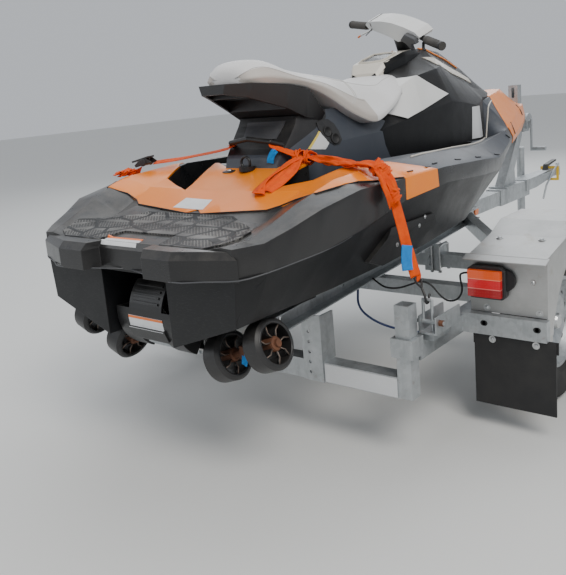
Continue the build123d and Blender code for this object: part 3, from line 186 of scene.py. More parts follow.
def steel(name, base, dark, rough, spangle=70.0, rust=0.0, metal=0.85):
    """Galvanised or plain steel: spangle, dark streaks and spots of rust."""
    r = Recipe(name, rough, metal)
    flakes = r.cells(spangle, output="Color", Randomness=1.0)
    grey = r.node("ShaderNodeRGBToBW", {0: flakes}).outputs[0]
    cloud = r.noise(6.0, 6.0, 0.6)
    streak = r.noise(9.0, 4.0, 0.6, r.stretched((3.0, 3.0, 0.7)))
    colour = r.mix(r.fade(cloud, 0.3, 0.7), dark, base)
    colour = r.mix(r.times(grey, 0.28), colour, scaled(base, 1.35))
    colour = r.mix(r.fade(streak, 0.52, 0.75, 0.45), colour, scaled(dark, 0.62))
    if rust:
        spots = r.noise(38.0, 8.0, 0.7)
        colour = r.mix(r.fade(spots, 0.60, 0.72, rust), colour, RUST)
    r.colour(colour)
    r.rough(cloud, rough - 0.12, min(1.0, rough + 0.2))
    r.bump(r.noise(260.0, 5.0, 0.6), 0.18, 0.0005)
    r.bump(grey, 0.06, 0.0004)
    return r.material


def rubber(name, base, dust, rough, grain=400.0):
    """Matt rubber with dust in patches."""
    r = Recipe(name, rough)
    marks = r.noise(9.0, 6.0, 0.7)
    colour = r.mix(r.fade(marks, 0.4, 0.75), base, dust)
    r.colour(colour)
    r.rough(marks, rough - 0.15, min(1.0, rough + 0.15))
    r.bump(r.noise(grain, 4.0, 0.6), 0.25, 0.0006)
    return r.material


def vinyl(name, base, shade):
    """Sewn seat vinyl with a fine leather grain and faint soiling."""
    r = Recipe(name, 0.5, Sheen_Weight=0.08)
    soil = r.noise(4.5, 6.0, 0.6)
    colour = r.mix(r.fade(soil, 0.42, 0.8, 0.75), base, shade)
    r.colour(colour)
    r.rough(soil, 0.4, 0.62)
    grain = r.cells(620.0, "DISTANCE_TO_EDGE")
    r.bump(r.fade(grain, 0.0, 0.22), 0.22, 0.0006)
    r.bump(r.noise(28.0, 3.0), 0.15, 0.003)
    return r.material


def webbing(name, base, shade):
    """Woven polyester band, a little soiled."""
    r = Recipe(name, 0.66, Sheen_Weight=0.04, Specular_IOR_Level=0.2)
    inputs = {"Vector": r.place, "Scale": 520.0, "Distortion": 0.6}
    wave = r.node("ShaderNodeTexWave", inputs, wave_type="BANDS", bands_direction="DIAGONAL").outputs["Fac"]
    soil = r.noise(30.0, 5.0, 0.6)
    colour = r.mix(r.fade(soil, 0.35, 0.75), base, shade)
    colour = r.mix(r.times(wave, 0.25), colour, scaled(shade, 0.6))
    r.colour(colour)
    r.rough(soil, 0.5, 0.8)
    r.bump(wave, 0.5, 0.0008)
    return r.material


def worn_alloy(name):
    """Worn aluminium sheet: brushed, cloudy and stained brown in patches."""
    r = Recipe(name, 0.4, 0.9)
    brushed = r.noise(14.0, 4.0, 0.6, r.stretched((1.0, 26.0, 26.0)))
    cloud = r.noise(5.0, 6.0, 0.62)
    colour = r.mix(r.fade(cloud, 0.35, 0.72), (0.40, 0.40, 0.39), (0.60, 0.60, 0.59))
    colour = r.mix(r.times(brushed, 0.25), colour, (0.30, 0.30, 0.30))
    stain = r.noise(11.0, 7.0, 0.7)
    colour = r.mix(r.fade(stain, 0.56, 0.74, 0.55), colour, (0.30, 0.23, 0.16))
    r.colour(colour)
    r.rough(cloud, 0.28, 0.58)
    r.bump(brushed, 0.12, 0.0005)
    r.bump(r.noise(3.0, 3.0), 0.4, 0.004)
    return r.material


def cross_hatched(name):
    """Moulded tread: angular fields of small cells with pale worn edges, and smooth black ribs between."""
    r = Recipe(name, 0.6)
    fields = r.cells(9.0, "DISTANCE_TO_EDGE", r.stretched((1.0, 1.25, 1.0), (0, 0, 0.6)), Randomness=0.85)
    inside = r.fade(fields, 0.055, 0.075)
    grid = r.cells(105.0, "DISTANCE_TO_EDGE", r.stretched((1.0, 1.0, 1.0), (0, 0, 0.785)), Randomness=0.0)
    walls = r.times(r.ramp(grid, (0.10, 1.0), (0.22, 0.0)), inside)
    worn = r.times(walls, r.ramp(r.noise(7.0, 4.0), (0.32, 0.15), (0.64, 1.0)))
    r.colour(r.mix(worn, (0.009, 0.009, 0.010), (0.20, 0.195, 0.185)))
    r.rough(r.noise(20.0), 0.4, 0.7)
    r.bump(r.calc("ADD", walls, r.times(r.calc("SUBTRACT", 1.0, inside), 1.6)), 0.8, 0.002)
    return r.material


def sticker(name, base=(0.78, 0.79, 0.80), rough=0.35):
    """Bare printed film, a little soiled."""
    r = Recipe(name, rough)
    soil = r.noise(24.0, 5.0, 0.6)
    r.colour(r.mix(r.fade(soil, 0.4, 0.8, 0.6), base, scaled(base, 0.78)))
    r.rough(soil, rough - 0.1, rough + 0.2)
    r.bump(r.noise(160.0, 3.0), 0.08, 0.0004)
    return r.material


def dark_glass(name):
    """Gauge's smoked lens with a faint bright pattern of dots under it."""
    r = Recipe(name, 0.22, Coat_Weight=0.15, Specular_IOR_Level=0.35)
    dots = r.cells(170.0, Randomness=0.35)
    zones = r.noise(16.0, 2.0)
    lit = r.times(r.ramp(dots, (0.16, 1.0), (0.24, 0.0)), r.fade(zones, 0.52, 0.58))
    r.colour(r.mix(lit, (0.010, 0.012, 0.020), (0.20, 0.24, 0.30)))
    r.bump(r.noise(40.0, 2.0), 0.03, 0.0005)
    return r.material


LAMP_FOOT, LAMP_TALL = 0.478, 0.090


def lamp_glass(name):
    """Dotted lens, orange above and red in two shades below, with pale lines between."""
    r = Recipe(name, 0.16, Coat_Weight=0.6, Specular_IOR_Level=0.6)
    level = r.times(r.calc("SUBTRACT", r.height(), LAMP_FOOT), 1 / LAMP_TALL)
    low, middle, high = (0.40, 0.006, 0.010), (0.72, 0.006, 0.014), (0.90, 0.10, 0.008)
    colour = r.ramp(level, (0.0, low), (0.30, low), (0.31, (0.9, 0.35, 0.3)), (0.34, middle),
                    (0.66, middle), (0.67, (0.95, 0.4, 0.25)), (0.70, high), (1.0, high))
    dots = r.cells(105.0, Randomness=0.0)
    colour = r.mix(r.ramp(dots, (0.0, 0.5), (0.45, 0.0)), colour, (1.0, 0.36, 0.16))
    r.colour(colour)
    r.rough(r.noise(30.0), 0.1, 0.3)
    r.bump(dots, 0.5, 0.002)
    return r.material


# The recipe of each look: base colour, worn colour, roughness
LOOKS = {
    "hull": plastic(
        "hull_black", (0.0045, 0.005, 0.006), (0.012, 0.012, 0.013), 0.36, dust=0.08, scuffs=0.6,
        Specular_IOR_Level=0.30, Coat_Weight=0.05, Coat_Roughness=0.25,
    ),
    "deck": plastic(
        "deck_black", (0.011, 0.011, 0.012), (0.024, 0.023, 0.022), 0.28, dust=0.20, grain=1200.0,
        Specular_IOR_Level=0.40, Coat_Weight=0.20, Coat_Roughness=0.22,
    ),
    "orange": plastic(
        "panel_orange", (0.93, 0.250, 0.0), (0.86, 0.200, 0.001), 0.30, dust=0.03, scuffs=0.2,
        grain_strength=0.05, Specular_IOR_Level=0.40, Coat_Weight=0.22, Coat_Roughness=0.14,
    ),
    "slate": plastic(
        "pedestal_slate", (0.034, 0.041, 0.055), (0.048, 0.055, 0.070), 0.40, dust=0.15, grain=700.0,
        grain_strength=0.2,
    ),
    "trim": plastic("trim_black", (0.011, 0.011, 0.012), (0.022, 0.022, 0.023), 0.40, dust=0.12),
    "pod": plastic("pod_grey", (0.060, 0.062, 0.068), (0.080, 0.082, 0.088), 0.45, dust=0.10),
    "fairing": plastic(
        "fairing_black", (0.005, 0.0055, 0.0065), (0.012, 0.012, 0.013), 0.40, dust=0.08,
        Specular_IOR_Level=0.22,
    ),
    "white": plastic(
        "knee_white", (0.74, 0.74, 0.73), (0.64, 0.64, 0.62), 0.34, dust=0.10, scuffs=0.3,
        grain_strength=0.06,
    ),
    # cream colours the dash round the gauge, the gauge rim and the fairing's spine trim, and is also the
    # painted highlight along the gunwale's inner edge
    "cream": plastic(
        "cream_trim_and_painted_glint", (0.62, 0.58, 0.50), (0.50, 0.46, 0.40), 0.30, dust=0.08, grain_strength=0.05,
    ),
    "seat": vinyl("seat_vinyl", (0.70, 0.69, 0.685), (0.58, 0.56, 0.53)),
    "seat_side": vinyl("seat_side_vinyl", (0.50, 0.46, 0.42), (0.40, 0.36, 0.32)),
    "seam": vinyl("seam_thread", (0.52, 0.51, 0.49), (0.40, 0.38, 0.35)),
    "mat": cross_hatched("tread_rubber"),
    "tyre": rubber("tyre_rubber", (0.012, 0.012, 0.012), (0.045, 0.042, 0.038), 0.82),
    "rubber": rubber("black_rubber", (0.010, 0.010, 0.011), (0.026, 0.025, 0.024), 0.6),
    "grip": rubber("grip_rubber", (0.045, 0.042, 0.038), (0.11, 0.10, 0.09), 0.6, 500.0),
    "wheel_plastic": plastic("roller_black", (0.010, 0.010, 0.011), (0.022, 0.021, 0.021), 0.38, dust=0.10),
    "zinc": steel("galvanised_steel", (0.52, 0.54, 0.55), (0.33, 0.35, 0.36), 0.46, rust=0.35),
    "bright": steel("bright_steel", (0.62, 0.63, 0.63), (0.45, 0.46, 0.46), 0.28, 160.0, metal=1.0),
    "rust": steel("rusty_hub", (0.20, 0.082, 0.04), (0.09, 0.038, 0.022), 0.75, 90.0, rust=0.9, metal=0.25),
    "alloy": worn_alloy("guard_alloy"),
    "lamp": lamp_glass("lamp_lens"),
    "amber": plastic("amber_lens", (0.9, 0.2, 0.01), (0.8, 0.15, 0.01), 0.18, dust=0.05, Coat_Weight=0.5),
    "gauge": dark_glass("gauge_lens"),
    "pump": plastic(
        "pump_black", (0.008, 0.0085, 0.009), (0.020, 0.020, 0.021), 0.34, dust=0.1, grain=300.0,
        grain_strength=0.35,
    ),
    "plate": plastic("bare_plate", (0.68, 0.69, 0.70), (0.55, 0.56, 0.57), 0.4, dust=0.2, scuffs=0.4),
    "label": sticker("bare_label"),
    "label_orange": sticker("label_stripe", (0.90, 0.20, 0.03)),
    "label_yellow": sticker("label_edge", (0.72, 0.56, 0.10)),
    "strap": webbing("orange_webbing", (0.94, 0.115, 0.0), (0.78, 0.065, 0.0)),
    "tag": webbing("blue_tag", (0.02, 0.28, 0.75), (0.015, 0.20, 0.58)),
    "hook": plastic("hook_black", (0.012, 0.012, 0.013), (0.03, 0.03, 0.03), 0.4, dust=0.2),
    "worn": steel("worn_spoke", (0.22, 0.185, 0.16), (0.1, 0.055, 0.035), 0.42, 120.0, rust=0.6, metal=0.6),
    "band_blue": sticker("plate_band_blue", (0.01, 0.05, 0.42)),
    "tie": plastic("red_tie", (0.55, 0.02, 0.03), (0.45, 0.02, 0.03), 0.4),
    "lock": plastic("lock_yellow", (0.80, 0.52, 0.02), (0.62, 0.38, 0.03), 0.5, dust=0.2),
    "cable": rubber("cable_black", (0.008, 0.008, 0.009), (0.02, 0.02, 0.02), 0.5),
    "hose": rubber("hose_blue", (0.006, 0.022, 0.10), (0.012, 0.03, 0.11), 0.42),
}

LOOK_NODES = {
    "hull": "hull",
    "deck": "deck stern_bumper",
    "orange": "rear_panel side_panels bow_panel",
    "mat": "tread_mats",
    "slate": "pedestal",
    "trim": "seat_carrier sponsons intake_grate steering_column handlebar",
    "seat": "seat",
    "fairing": "fairing dash",
    "white": "knee_panels bar_pad",
    "pump": "pump_housing steering_nozzle reverse_gate deck_handle",
    "bright": "impeller gate_pins",
    "grip": "grips",
    "tyre": "tyre_right tyre_left",
    "alloy": "ride_plate mudguards",
    "zinc": "rim_right rim_left axle drawbar spread_arms cross_tube side_rails rear_frame bunk_beams"
            " beam_brackets roller_carriers guard_bars strap_brackets coupling jockey_tube jockey_stem"
            " jockey_fork winch_post winch",
    "rubber": "bunk_pads mud_flaps jockey_wheel bow_stop",
    "wheel_plastic": "rollers_right rollers_left",
    "lamp": "lamps",
    "plate": "plate_holder",
    "strap": "tie_straps",
    "lock": "coupling_lock",
    "cable": "lamp_cable",
    "hose": "brake_hose",
}

EASED_EDGES = (
    # solids, bevel's width, least angle in degrees
    ("deck stern_bumper rear_panel side_panels bow_panel", 0.005, 14),
    ("hull fairing pedestal knee_panels bar_pad dash", 0.006, 12),
    ("seat_carrier mudguards reverse_gate", 0.0012, 28),
    ("lamps", 0.004, 28),
)


def dress_where(node, look, chosen, upward=-2.0):
    """A second look on the faces that look up enough and whose middle, from the stern, the test picks."""
    thing = NODES[node]
    thing.data.materials.append(LOOKS[look])
    index = len(thing.data.materials) - 1
    for face in thing.data.polygons:
        middle = thing.matrix_world @ face.center
        if face.normal.z > upward and chosen(middle.x, middle.y + STERN_TO_MIDDLE, middle.z):
            face.material_index = index


def bevel(thing, width, segments, angle):
    made = thing.modifiers.new("eased", "BEVEL")
    made.width, made.segments, made.limit_method = width, segments, "ANGLE"
    made.angle_limit = math.radians(angle)


for look, names in LOOK_NODES.items():
    for node in names.split():
        NODES[node].data.materials.clear()
        NODES[node].data.materials.append(LOOKS[look])
for names, width, angle in EASED_EDGES:
    for node in names.split():
        NODES[node].modifiers.new("joined", "WELD").merge_threshold = 0.00005
        bevel(NODES[node], width, 3, angle)


# Mesh tools
def link(thing, look, body=CRAFT):
    """Puts a new piece in the scene, with its look and the body that it rides on."""
    thing.data.materials.append(LOOKS[look])
    bpy.context.scene.collection.objects.link(thing)
    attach(thing, body)
    return thing


def solid(name, points, faces, look, body=CRAFT, slot=None, smooth=False):
    """New piece from its points and faces, with the faces turned outward."""
    mesh = bpy.data.meshes.new(name)
    mesh.from_pydata([tuple(p) for p in points], [], faces)
    work = bmesh.new()
    work.from_mesh(mesh)
    bmesh.ops.recalc_face_normals(work, faces=work.faces)
    work.to_mesh(mesh)
    work.free()
    for face in mesh.polygons:
        face.use_smooth = smooth
    return link(bpy.data.objects.new(name, mesh), look, body)


def skin(loops, closed_ends=True):
    """Points and faces over closed loops that all have the same number of points."""
    count = len(loops[0])
    faces = []
    for i in range(len(loops) - 1):
        for j in range(count):
            k = (j + 1) % count
            faces.append((i * count + j, i * count + k, (i + 1) * count + k, (i + 1) * count + j))
    if closed_ends:
        faces.append(tuple(reversed(range(count))))
        faces.append(tuple((len(loops) - 1) * count + j for j in range(count)))
    return [p for loop in loops for p in loop], faces


def apply_modifiers(thing):
    graph = bpy.context.evaluated_depsgraph_get()
    mesh = bpy.data.meshes.new_from_object(thing.evaluated_get(graph))
    thing.modifiers.clear()
    thing.data = mesh


def eased(thing, width):
    """Rounds the edges of a hard piece."""
    bevel(thing, width, 2, 35)
    apply_modifiers(thing)


def way_along(path, index):
    """Way of a path at one of its points."""
    return (path[min(index + 1, len(path) - 1)] - path[max(index - 1, 0)]).normalized()


def smooth_path(points, steps=8):
    """Points on a Catmull-Rom line through the given ones."""
    points = [Vector(p) for p in points]
    if steps == 1:
        return points
    padded = [points[0] * 2 - points[1], *points, points[-1] * 2 - points[-2]]
    out = []
    for i in range(1, len(padded) - 2):
        a, b, c, d = padded[i - 1:i + 3]
        for step in range(steps):
            t = step / steps
            cubic = (3 * b - a - 3 * c + d) * t ** 3
            out.append(0.5 * ((2 * b) + (c - a) * t + (2 * a - 5 * b + 4 * c - d) * t * t + cubic))
    return [*out, points[-1]]


def round_loops(path, radius, sides, flat=1.0):
    """Circles across a path; flat under 1 presses them along their second axis."""
    side = way_along(path, 0).cross(UP)
    side = side.normalized() if side.length > 1e-4 else Vector((1, 0, 0))
    angles = [2 * math.pi * k / sides for k in range(sides)]
    loops = []
    for i, point in enumerate(path):
        way = way_along(path, i)
        side = (side - way * side.dot(way)).normalized()
        across, upward = side * radius, way.cross(side) * (radius * flat)
        loops.append([point + across * math.cos(a) + upward * math.sin(a) for a in angles])
    return loops


class Pile:
    """Small forms gathered into one piece."""

    def __init__(self):
        self.points, self.faces = [], []

    def add(self, points, faces):
        first = len(self.points)
        self.points += [Vector(p) for p in points]
        self.faces += [tuple(first + i for i in face) for face in faces]

    def lathe(self, place, way, profile, sides=14, turn=0.0, hollow=False):
        """Turned form from (radius, distance along way) pairs; hollow joins the last pair to the first."""
        way = Vector(way).normalized()
        side = way.orthogonal().normalized()
        other = way.cross(side)
        angles = [turn + 2 * math.pi * k / sides for k in range(sides)]
        loops = []
        for radius, along in profile:
            middle = place + way * along
            loops.append([middle + (side * math.cos(a) + other * math.sin(a)) * radius for a in angles])
        self.add(*(skin(loops + loops[:1], False) if hollow else skin(loops)))

    def bolt(self, place, way, size, round_head=True):
        """Washer and round or hexagon head."""
        self.lathe(place, way, ((size * 1.75, -0.001), (size * 1.75, size * 0.22)), 18)
        if round_head:
            dome = ((1.15, 0), (1.1, 0.45), (0.7, 0.8), (0.2, 0.95))
            self.lathe(place, way, [(size * radius, size * along) for radius, along in dome], 16)
        else:
            self.lathe(place, way, ((size, 0), (size, size * 0.9), (size * 0.85, size)), 6, turn=0.4)
            self.lathe(place, way, ((size * 0.5, 0), (size * 0.5, size * 1.5)), 12)

    def bar(self, points, radius, sides=8, steps=1, flat=1.0):
        self.add(*skin(round_loops(smooth_path(points, steps), radius, sides, flat)))

    def slab(self, corners, way):
        """Flat plate from its outline, carried along a vector."""
        self.add(*skin([list(corners), [corner + way for corner in corners]]))

    def web(self, points, normals, width, thick, folds=0.0, seed=1, steps=7, widths=None, across=10):
        """Webbing along a smooth line; normals are the ways its face looks, widths shares of its width."""
        path, looks = smooth_path(points, steps), smooth_path(normals, steps)
        shares = smooth_path([(w, 0, 0) for w in widths or [1.0] * len(points)], steps)
        draw = random.Random(seed)
        phases = [draw.uniform(0, 6.28) for _ in range(4)]
        loops = []
        for i, (point, look, share) in enumerate(zip(path, looks, shares)):
            way = way_along(path, i)
            out = look - way * look.dot(way)
            out = out.normalized() if out.length > 1e-5 else UP
            side = way.cross(out) * (width / 2 * share.x)
            depth = folds * (1 + 1.6 * max(0.0, 1 - share.x))
            middles = []
            for k in range(across + 1):
                u = k / across * 2 - 1
                wave = math.sin(5.0 * u + phases[0] + i * 0.21)
                wave += 0.6 * math.sin(9.0 * u + phases[1] - i * 0.33) + 0.4 * math.sin(i * 0.6 + phases[2])
                middles.append(point + side * u + out * (depth * wave))
            half = out * (thick / 2)
            loops.append([m + half for m in middles] + [m - half for m in middles[::-1]])
        self.add(*skin(loops))

    def piece(self, name, look, body=CRAFT, slot=None, smooth=False):
        return solid(name, self.points, self.faces, look, body, slot, smooth)


def caster(*things):
    """Solids, by CAD name or object, for points to be dropped on."""
    points, faces = [], []
    for thing in things:
        thing = NODES[thing] if isinstance(thing, str) else thing
        first = len(points)
        points += [thing.matrix_world @ v.co for v in thing.data.vertices]
        faces += [tuple(first + i for i in face.vertices) for face in thing.data.polygons]
    return BVHTree.FromPolygons(points, faces)


def dropped(tree, point, way, lift=0.0, back=0.06):
    """Where a line through the point along way meets the solids, lifted off them."""
    way = Vector(way).normalized()
    hit, normal, _, _ = tree.ray_cast(point - way * back, way, back + 0.25)
    if hit is None:
        return Vector(point)
    return hit + (-normal if normal.dot(way) > 0 else normal) * lift


def label(name, tree, corners, way, look, lift=0.0014, parts=8, body=CRAFT):
    """Thin sheet laid on the solids, from four corners taken round it."""
    a, b, c, d = corners
    loops = []
    for i in range(parts + 1):
        start, stop = a.lerp(d, i / parts), b.lerp(c, i / parts)
        row = [start.lerp(stop, j / parts) for j in range(parts + 1)]
        low = [dropped(tree, p, way, -0.0004) for p in row[::-1]]
        loops.append([dropped(tree, p, way, lift) for p in row] + low)
    solid(name, *skin(loops), look, body)


def part_of(corners, low, high):
    """The part of a four-cornered sheet between two shares of its length."""
    a, b, c, d = corners
    return a.lerp(b, low), a.lerp(b, high), d.lerp(c, high), d.lerp(c, low)


def plate_on(name, tree, outline, way, thick, look):
    """Thin plate of any outline, pressed on the solids."""
    low = [dropped(tree, p, way, -0.001) for p in outline]
    top = [dropped(tree, p, way, thick) for p in outline]
    count = len(outline)
    centre_low = sum(low, Vector()) / count
    centre_top = dropped(tree, sum(outline, Vector()) / count, way, thick)
    faces = []
    for i in range(count):
        k = (i + 1) % count
        faces += [(i, k, count + k, count + i), (count + i, count + k, 2 * count + 1), (k, i, 2 * count)]
    solid(name, low + top + [centre_low, centre_top], faces, look)


def whole(half):
    """An outline from its starboard half."""
    return [*half, *((-a, b) for a, b in half[-2:0:-1])]


# Seat
SEAT_ROWS = (
    # y, low half width, low z, side half width, side z, seam's share of the side, top half width, top z
    (0.556, 0.060, 1.232, 0.078, 1.246, 0.45, 0.046, 1.276),
    (0.572, 0.092, 1.230, 0.106, 1.248, 0.50, 0.060, 1.294),
    (0.600, 0.118, 1.228, 0.130, 1.251, 0.52, 0.074, 1.310),
    (0.640, 0.138, 1.224, 0.148, 1.249, 0.46, 0.084, 1.314),
    (0.690, 0.150, 1.219, 0.160, 1.240, 0.36, 0.090, 1.303),
    (0.750, 0.159, 1.213, 0.168, 1.231, 0.22, 0.092, 1.279),
    (0.820, 0.167, 1.196, 0.176, 1.216, 0.22, 0.098, 1.265),
    (0.900, 0.180, 1.162, 0.188, 1.192, 0.30, 0.104, 1.253),
    (0.980, 0.206, 1.102, 0.208, 1.138, 0.40, 0.109, 1.243),
    (1.045, 0.236, 1.064, 0.238, 1.092, 0.42, 0.112, 1.232),
    (1.100, 0.254, 1.042, 0.254, 1.066, 0.42, 0.113, 1.222),
    (1.200, 0.246, 1.078, 0.244, 1.100, 0.42, 0.114, 1.205),
    (1.290, 0.233, 1.112, 0.230, 1.132, 0.42, 0.114, 1.197),
    (1.367, 0.206, 1.137, 0.206, 1.157, 0.42, 0.112, 1.218),
    (1.445, 0.172, 1.166, 0.174, 1.184, 0.42, 0.106, 1.233),
    (1.516, 0.126, 1.195, 0.128, 1.211, 0.42, 0.090, 1.232),
)
# Points of a section: its low edge, the fullest point of its side and the side panel's seam
LOW_EDGE, SIDE, PANEL = 3, 4, 5
LAST_PANEL_ROW, FIRST_SHOULDER_ROW = 10, 7
SEAT_CREASE = 0.75
CROSS_SEAM = (
    (0.000, 1.090), (0.060, 1.088), (0.112, 1.082), (0.160, 1.070), (0.184, 1.056), (0.205, 1.015),
    (0.214, 0.994),
)
CROSS_SEAM_GAP, OVER_SEAT = 0.011, 1.30
SEAM_RADIUS, CROSS_SEAM_RADIUS = 0.0016, 0.0018


def panel_seam_of(row):
    """x and z of the seam between the side panel and the top."""
    _, _, _, side, side_z, share, top, top_z = row
    return side + (top - side) * share, side_z + (top_z - side_z) * share


def seat_loop(row):
    """Closed section of the cushion: flat below, sides pulled in, crowned above."""
    y, low, low_z, side, side_z, _, top, top_z = row
    seam_x, seam_z = panel_seam_of(row)
    half = (
        (0.0, low_z), (low * 0.6, low_z), (low - 0.008, low_z), (low, low_z + 0.004), (side, side_z),
        (seam_x + 0.004, seam_z + 0.003), (top + 0.010, top_z - 0.008), (top * 0.74, top_z - 0.001),
        (top * 0.38, top_z + 0.001), (0.0, top_z + 0.002),
    )
    return [at(x, y, z) for x, z in whole(half)]


def crease_along(mesh, indices, around):
    """Keeps lengthwise lines of a section-built mesh sharp when it is subdivided."""
    wanted = set(indices) | {(around - i) % around for i in indices}
    layer = mesh.attributes.new("crease_edge", "FLOAT", "EDGE")
    for edge in mesh.edges:
        a, b = edge.vertices
        if a % around == b % around and a % around in wanted:
            layer.data[edge.index].value = SEAT_CREASE


seat_loops = [seat_loop(row) for row in SEAT_ROWS]
seat = solid("seat_cushion", *skin(seat_loops), "seat", slot="seat_vinyl", smooth=True)
seat.data.materials.append(LOOKS["seat_side"])
section = len(seat_loops[0])
for face in seat.data.polygons:
    around = {v % section for v in face.vertices}
    mirrored = {(section - v) % section for v in around}
    on_side = any(band in (around, mirrored) for band in ({SIDE, PANEL}, {LOW_EDGE, SIDE}))
    if on_side and max(face.vertices) // section <= LAST_PANEL_ROW:
        face.material_index = 1
crease_along(seat.data, (LOW_EDGE, SIDE), section)
rounding = seat.modifiers.new("rounding", "SUBSURF")
rounding.levels = rounding.render_levels = 2
apply_modifiers(seat)
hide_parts("seat")

ON_SEAT = caster(seat)
seams = Pile()
panel_seam = [(x, row[0], z) for row in SEAT_ROWS[:LAST_PANEL_ROW + 1] for x, z in [panel_seam_of(row)]]
shoulder_seam = [(top + 0.012, y, top_z - 0.010) for y, *_, top, top_z in SEAT_ROWS[FIRST_SHOULDER_ROW:]]
for seam in (panel_seam, shoulder_seam):
    for side in SIDES:
        route = smooth_path(places(seam, side))
        seams.bar([dropped(ON_SEAT, p, (-side, 0, -0.35), FLUSH) for p in route], SEAM_RADIUS, flat=0.7)
# Two seams over the cushion, where its raised front part begins
for step in (0.0, CROSS_SEAM_GAP):
    arc = [(-x, y) for x, y in CROSS_SEAM[:0:-1]] + list(CROSS_SEAM)
    route = smooth_path([at(x, y + step, OVER_SEAT) for x, y in arc])
    places_on_seat = [dropped(ON_SEAT, p, DOWN, FLUSH, back=0.02) for p in route]
    seams.bar(places_on_seat, CROSS_SEAM_RADIUS, flat=0.7)
seams.piece("seat_seams", "seam", smooth=True)

# Tie-down straps
WEB_WIDE, WEB_THICK = 0.035, 0.0026
UPWARD, OUT_DOWN = (0.05, -0.25, 0.95), (0.85, -0.45, 0.3)
FLAT, PORT_FLAT = (0.86, -0.48, 0.12), (-0.9, -0.3, 0.1)

